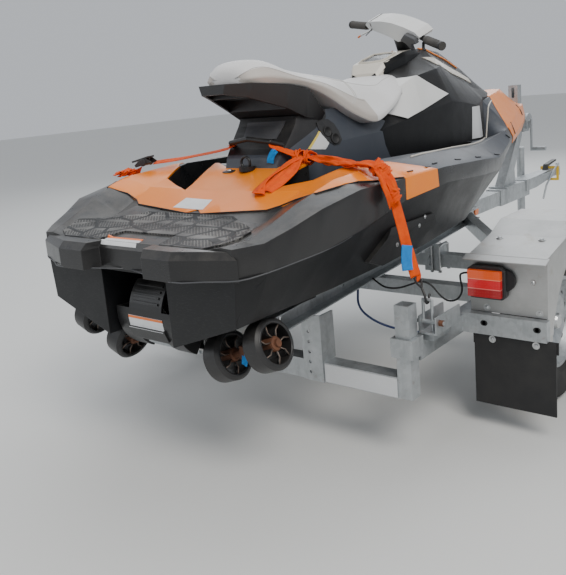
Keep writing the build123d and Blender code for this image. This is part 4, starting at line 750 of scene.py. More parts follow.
STRAP_RUNS = (
    # seed, depth of the folds, shares of the width, ways that the face looks, points
    # from the hand hold to the knot
    (3, 0.0012, (0.8, 0.95, 1.0, 0.95, 0.6), (UPWARD,) * 5,
     ((0.092, 0.655, 1.024), (0.104, 0.660, 1.011), (0.132, 0.670, 0.999), (0.165, 0.684, 0.984),
      (0.192, 0.694, 0.974))),
    # the doubled end that lies on the orange panel
    (5, 0.0022, (0.6, 1.05, 1.45, 1.6, 1.5),
     (UPWARD, UPWARD, (0.25, -0.4, 0.85), (0.2, -0.4, 0.9), (0.1, -0.5, 0.85)),
     ((0.196, 0.690, 0.968), (0.212, 0.640, 0.958), (0.228, 0.580, 0.936), (0.232, 0.510, 0.912),
      (0.222, 0.456, 0.892))),
    (6, 0.0022, (1.5, 1.3, 1.35, 1.35, 1.1, 0.6),
     ((0.1, -0.5, 0.85), (-0.2, -0.3, 0.9), (-0.3, -0.3, 0.9), (-0.35, -0.3, 0.9), (-0.2, -0.3, 0.9),
      UPWARD),
     ((0.222, 0.456, 0.892), (0.205, 0.447, 0.893), (0.188, 0.470, 0.902), (0.184, 0.540, 0.927),
      (0.188, 0.620, 0.955), (0.194, 0.688, 0.975))),
    # two gathered strands on to the gunwale
    (7, 0.0026, (0.6, 0.85, 0.8, 0.95, 0.9, 0.7),
     (UPWARD, (0, -0.7, 0.7), (0, -0.95, 0.3), (0.1, -0.6, 0.8), UPWARD, UPWARD),
     ((0.212, 0.696, 0.972), (0.262, 0.690, 0.966), (0.318, 0.676, 0.962), (0.372, 0.660, 0.958),
      (0.430, 0.636, 0.956), (0.480, 0.610, 0.958))),
    (8, 0.0024, (0.6, 0.9, 1.0, 0.9, 1.0, 0.8),
     (UPWARD, (0, 0.3, 0.9), (0, -0.2, 0.95), (0, 0.4, 0.9), UPWARD, UPWARD),
     ((0.210, 0.704, 0.966), (0.262, 0.704, 0.954), (0.318, 0.690, 0.948), (0.372, 0.668, 0.947),
      (0.430, 0.644, 0.949), (0.486, 0.604, 0.953))),
    # gathered turns that hang over the gunwale's edge
    (9, 0.003, (0.7, 1.0, 0.95, 0.9, 0.85, 0.6),
     (UPWARD, UPWARD, (0.5, -0.3, 0.8), OUT_DOWN, OUT_DOWN, OUT_DOWN),
     ((0.478, 0.606, 0.957), (0.530, 0.594, 0.962), (0.572, 0.586, 0.948), (0.604, 0.588, 0.912),
      (0.618, 0.594, 0.866), (0.616, 0.598, 0.834))),
    (10, 0.0028, (0.7, 0.9, 1.0, 0.9, 0.6), (UPWARD, UPWARD, (0.5, 0.1, 0.8), (0.95, 0.1, 0.2), OUT_DOWN),
     ((0.480, 0.622, 0.953), (0.530, 0.618, 0.950), (0.576, 0.612, 0.930), (0.600, 0.608, 0.896),
      (0.608, 0.604, 0.860))),
    (12, 0.0026, (0.6, 0.9, 0.95, 0.85, 0.6),
     ((0.4, -0.7, 0.5), OUT_DOWN, OUT_DOWN, OUT_DOWN, (0.6, -0.3, -0.7)),
     ((0.566, 0.578, 0.950), (0.592, 0.572, 0.922), (0.606, 0.574, 0.884), (0.612, 0.582, 0.848),
      (0.606, 0.592, 0.826))),
    # flat run down to the hook, and its end sewn back on itself
    (14, 0.0003, (0.7, 0.95, 1.0, 1.0, 1.0, 1.0), (FLAT,) * 6,
     ((0.606, 0.598, 0.876), (0.613, 0.603, 0.830), (0.622, 0.610, 0.776), (0.633, 0.618, 0.706),
      (0.644, 0.627, 0.640), (0.651, 0.632, 0.604))),
    (15, 0.0003, (1, 1, 1, 1), ((-0.86, 0.48, -0.12),) * 4,
     ((0.651, 0.632, 0.603), (0.650, 0.637, 0.607), (0.642, 0.632, 0.642), (0.634, 0.626, 0.690))),
    # port side: a straight run to the ratchet, then down to the hook, and the end sewn back
    (16, 0.0006, (1, 1, 1, 1, 1, 1), (UPWARD,) * 6,
     ((-0.092, 0.655, 1.024), (-0.104, 0.660, 1.012), (-0.200, 0.664, 0.996), (-0.308, 0.658, 0.982),
      (-0.411, 0.640, 0.970), (-0.486, 0.620, 0.964))),
    (17, 0.0004, (1, 1, 1, 1, 1, 1), (UPWARD, (-0.6, 0, 0.8), *(PORT_FLAT,) * 4),
     ((-0.556, 0.596, 0.944), (-0.584, 0.600, 0.920), (-0.602, 0.605, 0.886), (-0.620, 0.616, 0.776),
      (-0.640, 0.627, 0.660), (-0.651, 0.632, 0.604))),
    (18, 0.0003, (1, 1, 1, 1), ((0.9, 0.3, 0.1),) * 4,
     ((-0.651, 0.632, 0.603), (-0.650, 0.637, 0.607), (-0.642, 0.632, 0.642), (-0.634, 0.626, 0.690))),
)
KNOTS = (
    # middle, axis, size, seed, turns
    ((0.200, 0.698, 0.970), (1, 0.1, -0.1), 0.023, 11, 4),
    ((0.568, 0.596, 0.942), (0.8, 0, -0.6), 0.023, 21, 3),
    ((0.610, 0.597, 0.866), (0.15, 0.05, -1), 0.018, 31, 3),
)
# The spare webbing on the port gunwale, one layer of it, and how many there are
FOLDED = ((-0.500, 0.470, 0.934), (-0.540, 0.492, 0.930), (-0.566, 0.530, 0.925), (-0.560, 0.566, 0.932))
LAYERS, LAYER_RISE = 5, 0.0036
TAGS = (
    # seed, depth of the folds, width, way that the face looks, points
    (51, 0.0004, 0.033, (0.6, -0.8, 0.0),
     ((0.641, 0.609, 0.708), (0.640, 0.606, 0.690), (0.639, 0.604, 0.660), (0.641, 0.604, 0.630))),
    (52, 0.0012, 0.024, (0.4, -0.9, 0.2),
     ((0.118, 0.648, 1.001), (0.106, 0.644, 0.988), (0.098, 0.641, 0.972), (0.094, 0.641, 0.956))),
)


def knot(pile, middle, axis, size, seed, turns):
    """Webbing wound round itself in a few tight, uneven turns."""
    draw = random.Random(seed)
    axis = Vector(axis).normalized()
    for turn in range(turns):
        tilt = (axis + Vector([draw.uniform(-0.55, 0.55) for _ in range(3)])).normalized()
        side = tilt.orthogonal().normalized()
        other = tilt.cross(side)
        centre = at(*middle) + axis * size * (turn - (turns - 1) / 2) * 0.75
        path, looks = [], []
        for k in range(11):
            angle = 2 * math.pi * k / 9.3 + turn
            reach = size * draw.uniform(0.82, 1.12)
            out = side * math.cos(angle) + other * math.sin(angle) * 0.8
            path.append(centre + out * reach + tilt * (k / 10 - 0.5) * size * 0.5)
            looks.append(out)
        pile.web(path, looks, WEB_WIDE * 0.62, WEB_THICK, 0.0022, seed + turn, steps=4)


straps = Pile()
for seed, folds, widths, looks, points in STRAP_RUNS:
    straps.web(places(points), looks, WEB_WIDE, WEB_THICK, folds, seed, widths=widths)
for middle, axis, size, seed, turns in KNOTS:
    knot(straps, middle, axis, size, seed, turns)
for index in range(LAYERS):
    lift, shift = LAYER_RISE * index, 0.006 * (index % 2) - 0.004 * (index % 3)
    layer = places([(x + shift, y + shift * 1.5, z + lift) for x, y, z in FOLDED])
    straps.web(layer, (UPWARD,) * 4, WEB_WIDE, WEB_THICK, 0.0016, 40 + index, 5, (0.8, 1.0, 1.0, 0.9))
straps_piece = straps.piece("strap_webbing", "strap", slot="webbing", smooth=True)
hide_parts("tie_straps")

tags = Pile()
for seed, folds, width, look, points in TAGS:
    tags.web(places(points), (look,) * 4, width, WEB_THICK, folds, seed)
tags.piece("strap_tags", "tag", smooth=True)

# Hooks in the shackles
HOOK_WIRE = (
    (0.671, 0.630, 0.572), (0.682, 0.624, 0.556), (0.688, 0.6215, 0.540), (0.688, 0.6245, 0.5265),
    (0.688, 0.632, 0.5232), (0.688, 0.6398, 0.5268), (0.688, 0.6428, 0.538), (0.688, 0.650, 0.548),
)
NECK_WIRE = 0.0036
hooks = Pile()
for side in SIDES:
    for spread in (-1, 1):
        corner = (0.651 - 0.008 * spread, 0.633 + 0.019 * spread, 0.602)
        neck = (corner, (0.662, 0.632 + 0.014 * spread, 0.588), (0.672, 0.630, 0.571))
        hooks.bar(places(neck, side), NECK_WIRE, steps=4)
    hooks.bar(places(((0.659, 0.613, 0.602), (0.643, 0.653, 0.602)), side), NECK_WIRE)
    hooks.bar(places(HOOK_WIRE, side), 0.0040, steps=5)
hooks.piece("strap_hooks", "hook", smooth=True)

# Ratchet on the port gunwale
RATCHET_PLACE = at(-0.520, 0.608, 0.958)
ALONG_STRAP = Vector((-0.93, -0.24, -0.22)).normalized()
ACROSS_STRAP = ALONG_STRAP.cross(UP).normalized()
OFF_DECK = ACROSS_STRAP.cross(ALONG_STRAP)


def on_ratchet(along, across, up):
    return RATCHET_PLACE + ALONG_STRAP * along + ACROSS_STRAP * across + OFF_DECK * up


CHEEK = ((-0.040, 0), (0.040, 0), (0.044, 0.010), (0.012, 0.024), (-0.020, 0.022))
CHEEK_OUT, CHEEK_THICK, SPINDLE_UP = 0.021, 0.003, 0.010
RATCHET_GRIP = ((-0.030, -0.022), (-0.030, 0.022), (0.055, 0.018), (0.055, -0.018))
ratchet = Pile()
for side in (-1, 1):
    cheek = [on_ratchet(along, CHEEK_OUT * side, up) for along, up in CHEEK]
    ratchet.slab(cheek, ACROSS_STRAP * CHEEK_THICK * side)
    outer = on_ratchet(0, (CHEEK_OUT + CHEEK_THICK) * side, SPINDLE_UP)
    ratchet.lathe(outer, ACROSS_STRAP * side, ((0.015, 0), (0.015, 0.003), (0.012, 0.004)))
ratchet.lathe(on_ratchet(0, -0.024, SPINDLE_UP), ACROSS_STRAP, ((0.013, 0), (0.013, 0.048)))
ratchet.slab([on_ratchet(along, across, 0.022) for along, across in RATCHET_GRIP], OFF_DECK * 0.007)
eased(ratchet.piece("strap_ratchet", "hook"), 0.0012)

# Lamp cable and hose
LAMP_CABLE = (
    (0.698, 0.912, 0.552), (0.664, 0.914, 0.549), (0.648, 0.936, 0.524), (0.648, 0.952, 0.488),
    (0.640, 0.962, 0.456), (0.618, 0.964, 0.430), (0.582, 0.962, 0.424), (0.552, 0.958, 0.450),
    (0.528, 0.955, 0.482), (0.490, 0.952, 0.492), (0.446, 0.954, 0.474), (0.394, 0.960, 0.452),
    (0.342, 0.968, 0.444), (0.300, 0.976, 0.450), (0.264, 0.982, 0.472),
)
BRAKE_HOSE = (
    (0.250, 0.900, 0.458), (0.246, 0.902, 0.428), (0.238, 0.910, 0.394), (0.240, 0.926, 0.358),
    (0.258, 0.948, 0.326), (0.288, 0.970, 0.300), (0.332, 0.988, 0.282), (0.384, 1.000, 0.274),
    (0.438, 1.005, 0.274), (0.492, 1.004, 0.280), (0.542, 1.000, 0.290), (0.586, 0.995, 0.300),
    (0.620, 0.991, 0.314), (0.640, 0.987, 0.339),
)


def cord_piece(name, route, diameter, look, node):
    """Smooth line on the route's points, in place of the CAD part, which it hides."""
    data = bpy.data.curves.new(name, "CURVE")
    data.dimensions = "3D"
    line = data.splines.new("NURBS")
    line.points.add(len(route) - 1)
    for point, place in zip(line.points, places(route)):
        point.co = (*place, 1.0)
    line.order_u = 3
    line.use_endpoint_u = True
    data.resolution_u = 8
    data.bevel_depth = diameter / 2
    data.bevel_resolution = 3
    data.use_fill_caps = True
    piece = link(bpy.data.objects.new(name, data), look)
    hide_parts(node)


cord_piece("lamp_cord", LAMP_CABLE, 0.007, "cable", "lamp_cable")
cord_piece("brake_line", BRAKE_HOSE, 0.009, "hose", "brake_hose")

# Bare labels on the deck and on its step
ON_DECK = caster("deck", "stern_bumper", "rear_panel", "side_panels", "tread_mats", "bow_panel")
ON_HULL = caster("hull", "deck", "stern_bumper")
UNDER_GUNWALE_GLINT = caster("deck", "fairing", "bow_panel", "hull")

REAR_LABEL = places(((-0.116, 0.36, 0.9), (-0.108, 0.418, 0.9), (0.018, 0.417, 0.9), (0.026, 0.36, 0.9)))
STEP_LABEL = places(((-0.119, 0.05, 0.84), (-0.136, 0.098, 0.84), (0.026, 0.1, 0.84), (0.048, 0.05, 0.84)))
STEP_STRIPE_FROM = 0.72
label("rear_label", ON_DECK, REAR_LABEL, DOWN, "label")
label("step_label", ON_DECK, part_of(STEP_LABEL, 0, STEP_STRIPE_FROM), DOWN, "label")
label("step_label_stripe", ON_DECK, part_of(STEP_LABEL, STEP_STRIPE_FROM, 1), DOWN, "label_orange")

# Hatch latch
LATCH_WAY = (0, -0.2, 1)
latch_place = dropped(ON_DECK, at(-0.082, 0.615, 0.98), DOWN)
latch = Pile()
for shift, radius in ((-0.012, 0.016), (0.0, 0.018), (0.012, 0.016)):
    disc = ((radius, 0), (radius, 0.002), (radius * 0.8, 0.0026))
    latch.lathe(latch_place + Vector((shift, 0, -0.001)), LATCH_WAY, disc, 18)
latch.piece("hatch_recess", "trim")
barrel, barrel_side = Pile(), ((0.009, 0), (0.009, 0.005), (0.007, 0.006))
barrel.lathe(latch_place + Vector((0.004, 0, 0.001)), LATCH_WAY, barrel_side, 18)
barrel.piece("hatch_barrel", "bright", smooth=True)

# Painted highlight: a pale grey line along the deck's lower edge, from the notch in the bumper to the hull's
# side, stands in for light caught along the deck-hull joint
JOINT_GLINT_RADIUS, JOINT_GLINT_SUNK = 0.0022, 0.0012
JOINT_GLINT_LINE = (
    (0.128, -0.010, 0.713), (0.250, -0.012, 0.712), (0.352, 0.024, 0.713), (0.444, 0.062, 0.716),
    (0.497, 0.125, 0.727), (0.523, 0.210, 0.737), (0.543, 0.300, 0.746), (0.556, 0.380, 0.756),
    (0.565, 0.430, 0.768),
)
joint_glint = Pile()
for side in SIDES:
    route = [dropped(ON_HULL, p, (-side * 0.9, 0.45, 0), -JOINT_GLINT_SUNK) for p in places(JOINT_GLINT_LINE, side)]
    joint_glint.bar(route, JOINT_GLINT_RADIUS, 6, 3)
joint_glint.piece("deck_joint_painted_highlight", "pod", smooth=True)

# Painted highlight: a cream line along the inner edge of the gunwale, up to the bow, stands in for sun glint
# on the black deck's bevel
GUNWALE_GLINT_LINE = (
    (0.484, 0.930), (0.474, 1.042), (0.434, 1.250), (0.394, 1.454), (0.337, 1.727), (0.320, 1.858),
    (0.268, 2.010), (0.222, 2.123), (0.186, 2.237), (0.162, 2.310), (0.138, 2.390),
)
OVER_DECK, GUNWALE_GLINT_RADIUS = 1.12, 0.0036
gunwale_glint = Pile()
for side in SIDES:
    route = smooth_path([at(side * x, y, OVER_DECK) for x, y in GUNWALE_GLINT_LINE], 5)
    gunwale_glint.bar([dropped(UNDER_GUNWALE_GLINT, place, DOWN, 0.001) for place in route], GUNWALE_GLINT_RADIUS)
gunwale_glint.piece("gunwale_painted_glint", "cream", smooth=True)

# Slots moulded in the side panels and the gunwale, and upright ones in the bow's sides
TOP_SLOTS = (
    # x, y, height to drop from, length along y
    (0.560, 0.786, 0.94, 0.034), (0.560, 0.905, 0.94, 0.030), (0.548, 0.976, 0.94, 0.030),
    (0.532, 1.184, 0.93, 0.040), (0.520, 1.382, 0.92, 0.040), (0.436, 1.753, 0.90, 0.046),
    (0.316, 2.163, 0.92, 0.046),
)
BOW_SLOTS = ((0.150, 2.798, 0.977), (0.300, 2.348, 0.913))
BOW_SLOT_HALF, SLOT_RADIUS, BOW_SLOT_RADIUS = 0.03, 0.005, 0.006
slots = Pile()
for x, y, z, length in TOP_SLOTS:
    for side in SIDES:
        ends = [at(side * x, y + reach * length, z) for reach in (-0.5, 0, 0.5)]
        slots.bar([dropped(ON_DECK, p, DOWN, FLUSH) for p in ends], SLOT_RADIUS, steps=2, flat=0.4)
for x, y, z in BOW_SLOTS:
    for side in SIDES:
        ends = [at(side * x, y, z + reach * BOW_SLOT_HALF) for reach in (-1, 0, 1)]
        line = [dropped(ON_DECK, p, (-side, 0, 0), FLUSH, back=0.1) for p in ends]
        slots.bar(line, BOW_SLOT_RADIUS, steps=2, flat=0.5)
slots.piece("moulded_slots", "rubber")

# Painted reflection: slate grey on the up-facing gunwale tops ahead of the orange side panels stands in for
# the sky's sheen on the black deck
dress_where("deck", "slate", lambda x, y, z: 0.80 < y < 2.6 and abs(x) > 0.10 and z > 0.845, 0.45)

# Shadow gaps round the orange panels
REAR_OUTLINE = (
    (0.120, 0.346), (0.300, 0.362), (0.337, 0.386), (0.394, 0.395), (0.485, 0.376), (0.517, 0.442),
    (0.535, 0.520), (0.560, 0.585), (0.567, 0.652), (0.580, 0.714),
)
REAR_MIDDLE = ((-0.12, 0.346), (-0.04, 0.338), (0.04, 0.338), (0.12, 0.346))
GAP_RADIUS = 0.0024


def on_gap(x, y):
    """A place sunk a little in the deck."""
    return dropped(ON_DECK, at(x, y, 1.0), DOWN, -0.0006, back=0.02)


gaps = Pile()
for side in SIDES:
    corners = [on_gap(side * x, y) for x, y in REAR_OUTLINE]
    line = [p for a, b in zip(corners, corners[1:]) for p in (a, a.lerp(b, 0.5))]
    gaps.bar([*line, corners[-1]], GAP_RADIUS, 6)
gaps.bar([on_gap(x, y) for x, y in REAR_MIDDLE], GAP_RADIUS, 6)
gaps.piece("panel_gaps", "rubber")

# Ribbed mats on the floor of the two footwells, which narrow towards the bow
RIB_COUNT, RIB_PITCH, RIB_LONG, RIB_TALL = 24, 0.034, 0.022, 0.004
WELL_START, WELL_FLOOR, WELL_OUTER, NARROWS_FROM = 0.850, 0.7215, 0.415, 1.32
mats = Pile()
for side in SIDES:
    for index in range(RIB_COUNT):
        y = WELL_START + index * RIB_PITCH
        inner, outer = 0.236 if y < 1.5 else 0.262, WELL_OUTER - max(0.0, y - NARROWS_FROM) * 0.19
        start, stop = at(side * inner, y, WELL_FLOOR), at(side * outer, y + 0.02, WELL_FLOOR)
        mats.slab([start, stop, stop + AHEAD * RIB_LONG, start + AHEAD * RIB_LONG], UP * RIB_TALL)
mats.piece("footwell_ribs", "rubber")

# Pedestal: cup plate, labels and hatch
ON_PEDESTAL = caster("pedestal", "seat_carrier")
BESIDE_PEDESTAL = 0.26
CUP_PLATE = (
    (0.832, 1.076), (0.856, 1.086), (0.892, 1.084), (0.918, 1.066), (0.932, 1.036), (0.934, 1.004),
    (0.918, 0.990), (0.890, 0.990), (0.866, 1.004), (0.844, 1.032), (0.832, 1.056),
)
WEDGE = ((0.839, 1.044), (0.866, 1.000), (0.842, 0.980), (0.777, 0.988))
WEDGE_EDGE = ((0.839, 1.044), (0.832, 1.047), (0.768, 0.990), (0.777, 0.988))
HATCH = places(((-0.082, 0.62, 1.036), (-0.090, 0.64, 1.092), (0.090, 0.64, 1.092), (0.076, 0.62, 1.032)))


def beside_pedestal(outline):
    return [at(BESIDE_PEDESTAL, y, z) for y, z in outline]


plate_on("cup_plate", ON_PEDESTAL, beside_pedestal(CUP_PLATE), TO_PORT, 0.0035, "trim")
cups = Pile()
for y, z, radius in ((0.872, 1.040, 0.020), (0.900, 1.012, 0.021)):
    centre = dropped(ON_PEDESTAL, at(BESIDE_PEDESTAL, y, z), TO_PORT, 0.003)
    rim = ((radius, 0), (radius, 0.004), (radius * 0.78, 0.004), (radius * 0.70, 0.001))
    cups.lathe(centre, (1, -0.15, 0.15), rim, 22)
cups.piece("cup_rims", "rubber", smooth=True)
label("wedge_label", ON_PEDESTAL, beside_pedestal(WEDGE), TO_PORT, "plate")
label("wedge_label_edge", ON_PEDESTAL, beside_pedestal(WEDGE_EDGE), TO_PORT, "label_yellow", lift=0.0018)
label("hatch_panel", ON_PEDESTAL, HATCH, AHEAD, "pod", lift=0.004)

# Fairing: the spine's trim and stripes, and a bare label
ON_FAIRING = caster("fairing", "dash")
SPINE_TRIM = ((0.170, 1.770, 1.262), (0.128, 1.720, 1.300), (0.072, 2.300, 1.190), (0.088, 2.300, 1.166))
SPINE_STRIPE = ((0.078, 1.770, 1.342), (0.092, 1.856, 1.320), (0.080, 2.035, 1.290), (0.064, 2.173, 1.246))
FAIRING_LABEL = places(((0.3, 1.93, 1.05), (0.3, 2.06, 1.048), (0.3, 2.075, 0.9), (0.3, 1.905, 0.905)))
spine = Pile()
for side, name in SIDES.items():
    trim_way = (-side * 0.8, 0, -0.6)
    label("spine_trim_" + name, ON_FAIRING, places(SPINE_TRIM, side), trim_way, "cream", 0.003, 14)
    route = smooth_path(places(SPINE_STRIPE, side), 6)
    spine.bar([dropped(ON_FAIRING, p, (-side * 0.7, 0, -0.7), 0.001) for p in route], 0.006, flat=0.7)
spine.piece("spine_stripes", "orange", smooth=True)
label("fairing_label", ON_FAIRING, FAIRING_LABEL, TO_PORT, "plate")

# Gauge: smoked lens in a pale rim on the pod, cream round it
ON_DASH = caster("dash")
OVER_DASH = 1.36
LENS_HALF = ((0.0, 1.464), (0.046, 1.472), (0.056, 1.502), (0.048, 1.580), (0.0, 1.590))
RIM_HALF = ((0.0, 1.456), (0.053, 1.4655), (0.064, 1.501), (0.0545, 1.5865), (0.0, 1.598))


def is_cream(x, y, z):
    on_lens = abs(x) < 0.05 and 1.47 < y < 1.59
    return z > 1.226 and y < 1.70 and abs(x) < 0.081 and not on_lens


plate_on("gauge_lens", ON_DASH, [at(x, y, OVER_DASH) for x, y in whole(LENS_HALF)], DOWN, 0.0025, "gauge")
rim = Pile()
round_rim = [dropped(ON_DASH, at(x, y, OVER_DASH), DOWN, 0.0006) for x, y in whole(RIM_HALF)]
rim.bar(round_rim + round_rim[:1], 0.0026, flat=0.8)
rim.piece("gauge_rim", "cream")
dress_where("dash", "cream", is_cream)

# Lever, switch pod, ribbed grips and trim on the bar, in the column's own frame
RAKE, TURN = math.radians(29), math.radians(28)
BAR_MIDDLE = at(0, 1.780, 1.318)
BAR_WAY = Vector((math.cos(TURN), -math.sin(TURN) * math.cos(RAKE), -math.sin(TURN) * math.sin(RAKE)))
COLUMN_WAY = Vector((0, -math.sin(RAKE), math.cos(RAKE)))
BAR_AHEAD = COLUMN_WAY.cross(BAR_WAY)


def on_bar(x, y, z):
    """A place on the bar: along it, ahead of it and up the column."""
    return BAR_MIDDLE + BAR_WAY * x + BAR_AHEAD * y + COLUMN_WAY * z


SWITCH_POD = (
    (0.088, -0.039, 0.112), (0.136, -0.039, 0.148), (0.200, -0.039, 0.136), (0.208, -0.039, 0.112),
    (0.150, -0.039, 0.096),
)
SWITCH_FOOT = ((0.104, -0.042, 0.11), (0.152, -0.046, 0.07), (0.172, -0.046, 0.074), (0.16, -0.042, 0.104))
BAR_LEVERS = (
    # name, look, radius, steps, flatness, points on the bar
    ("bar_lever", "white", 0.0055, 5, 0.7,
     ((-0.176, -0.036, 0.112), (-0.205, -0.056, 0.104), (-0.236, -0.070, 0.092))),
    ("lever_tip", "amber", 0.0065, 3, 0.7,
     ((-0.234, -0.069, 0.093), (-0.243, -0.073, 0.089), (-0.250, -0.077, 0.084))),
    ("throttle_lever", "trim", 0.0065, 5, 0.6,
     ((0.206, -0.020, 0.100), (0.236, -0.046, 0.094), (0.262, -0.058, 0.092))),
)
GRIP_RIBS, GRIP_RIB_PITCH = 14, 0.062
GRIP_RIB = ((0.0168, -0.001), (0.0182, 0.0), (0.0182, 0.003), (0.0168, 0.004))
GRIP_CAP = ((0.0188, 0), (0.0192, 0.006), (0.0186, 0.0115), (0.012, 0.0118))
pod = Pile()
pod.slab([on_bar(*p) for p in SWITCH_POD], BAR_AHEAD * -0.022)
pod.slab([on_bar(*p) for p in SWITCH_FOOT], BAR_AHEAD * -0.012)
eased(pod.piece("switch_pod", "pod", body="steering"), 0.004)
for name, look, radius, steps, flat, points in BAR_LEVERS:
    lever = Pile()
    lever.bar([on_bar(*p) for p in points], radius, 10, steps, flat)
    lever.piece(name, look, body="steering", smooth=True)
grips, caps = Pile(), Pile()
for side in SIDES:
    start, stop = on_bar(side * 0.232, -0.020, 0.116), on_bar(side * 0.360, -0.034, 0.114)
    way = (stop - start).normalized()
    for index in range(GRIP_RIBS):
        grips.lathe(start.lerp(stop, 0.08 + index * GRIP_RIB_PITCH), way, GRIP_RIB, 18)
    caps.lathe(stop - way * 0.012, way, GRIP_CAP, 18)
grips.piece("grip_ribs", "grip", body="steering", smooth=True)
caps.piece("grip_caps", "trim", body="steering", smooth=True)

ON_PAD = caster("bar_pad")
GAP_ACROSS = -0.166
pad_gap = Pile()
for way, places_on_pad in (
    (-COLUMN_WAY, [on_bar(GAP_ACROSS, y, 0.20) for y in (-0.037, -0.018, 0.0, 0.018, 0.037)]),
    (BAR_AHEAD, [on_bar(GAP_ACROSS, -0.08, z) for z in (0.150, 0.135, 0.120, 0.108)]),
):
    pad_gap.bar([dropped(ON_PAD, p, way, FLUSH) for p in places_on_pad], 0.0022, 6, 2)
pad_gap.piece("pad_gap", "trim", body="steering")

# Bare label on the reverse gate
ON_GATE = caster("reverse_gate")
INTO_GATE = (0, 0.93, 0.37)
GATE_CORNERS = ((-0.08, 0.4725), (-0.08, 0.5115), (0.08, 0.5115), (0.08, 0.4725))
GATE_LABEL = [at(x, 0.0, z) for x, z in GATE_CORNERS]
GATE_STRIPE = part_of(GATE_LABEL, 0.78, 0.98)
label("gate_label", ON_GATE, GATE_LABEL, INTO_GATE, "label", 0.0012, body="gate")
label("gate_label_stripe", ON_GATE, GATE_STRIPE, INTO_GATE, "label_orange", 0.0017, body="gate")

# Trailer: bolts, clamps, nuts and holes
ZINC_BOLTS = (
    # x, y, z of the face, size of the head, whether it is round
    (0.747, 0.930, 0.432, 0.007, False), (0.926, 0.930, 0.431, 0.007, False),
    (0.771, 0.912, 0.328, 0.007, False), (0.919, 0.912, 0.328, 0.007, False),
    (0.905, 0.930, 0.533, 0.005, True), (0.752, 0.930, 0.596, 0.004, True),
    (0.720, 0.930, 0.596, 0.004, True),
)
GUARD_BOLTS = ((0.739, 1.066), (0.883, 1.071), (0.739, 1.514), (0.883, 1.509))
OVER_GUARD = 0.70
CLAMP_X, CLAMP_Y, CLAMP_ROD = (0.150, 0.190), (1.662, 1.748), 0.0048
SPONSON_BOLTS = ((0.60, 0.900, 0.738), (0.60, 0.860, 0.715), (0.60, 0.619, 0.705))
BAR_HOLE_X, BAR_HOLE_HALF_SLOT, BAR_HOLE = (0.748, 0.927), 0.003, ((0.0095, -0.001), (0.0095, 0.0004))
ON_GUARDS, ON_SPONSONS = caster("mudguards"), caster("sponsons")

bolts, sponson_bolts, stained, bar_holes = Pile(), Pile(), Pile(), Pile()
for side in SIDES:
    outward = Vector((side, 0, 0))
    for x, y, z, size, is_round in ZINC_BOLTS:
        bolts.bolt(at(side * x, y, z), REARWARD, size, is_round)
    for x, y in GUARD_BOLTS:
        bolts.bolt(dropped(ON_GUARDS, at(side * x, y, OVER_GUARD), DOWN), UP, 0.007)
    # Clamps of the beams' brackets round the front cross tube
    for x in CLAMP_X:
        for y in CLAMP_Y:
            bolts.bar(places(((x, y, 0.322), (x, y, 0.440)), side), CLAMP_ROD)
            bolts.lathe(at(side * x, y, 0.318), UP, ((0.009, 0), (0.009, 0.010)), 6)
        bow = ((x, CLAMP_Y[0], 0.438), (x, 1.705, 0.446), (x, CLAMP_Y[1], 0.438))
        bolts.bar(places(bow, side), CLAMP_ROD, steps=4)
    for place in places(SPONSON_BOLTS, side):
        sponson_bolts.bolt(dropped(ON_SPONSONS, place, -outward), outward, 0.0042)
    stained.lathe(at(side * 0.720, 0.632, 0.464), outward, ((0.0105, 0), (0.0105, 0.020)), 6)
    stained.lathe(at(side * 0.905, 0.9295, 0.533), REARWARD, ((0.0095, 0), (0.0095, 0.0006)), 18)
    for x in BAR_HOLE_X:
        for shift in (-BAR_HOLE_HALF_SLOT, BAR_HOLE_HALF_SLOT):
            bar_holes.lathe(at(side * x + shift, 0.8998, 0.385), REARWARD, BAR_HOLE, 18)
bolts.piece("trailer_bolts", "bright")
sponson_bolts.piece("sponson_bolts", "bright")
stained.piece("stained_nuts", "rust")
bar_holes.piece("bar_holes", "hook")

# Lamps: a dark body round each lens, the round rubber cap beside it, and amber discs ahead
LAMP_LOW, LAMP_HIGH = (0.691, 0.468), (0.824, 0.582)
LAMP_BACK, LAMP_DEEP = 0.9296, 0.026
(lamp_in, lamp_foot), (lamp_out, lamp_top) = LAMP_LOW, LAMP_HIGH
LAMP_OUTLINE = (
    (lamp_in, lamp_foot + 0.012), (lamp_in + 0.012, lamp_foot), (lamp_out - 0.012, lamp_foot),
    (lamp_out, lamp_foot + 0.012), (lamp_out, lamp_top - 0.016), (lamp_out - 0.020, lamp_top),
    (lamp_in + 0.020, lamp_top), (lamp_in, lamp_top - 0.012),
)
lamp_bodies = Pile()
for side in SIDES:
    lamp_bodies.slab([at(side * x, LAMP_BACK, z) for x, z in LAMP_OUTLINE], REARWARD * LAMP_DEEP)
eased(lamp_bodies.piece("lamp_bodies", "trim"), 0.004)
dress_where("lamps", "amber", lambda x, y, z: y > 2.0)
dress_where("lamps", "rubber", lambda x, y, z: y < 2.0 and (abs(x) > 0.8132 or y > 0.9135))

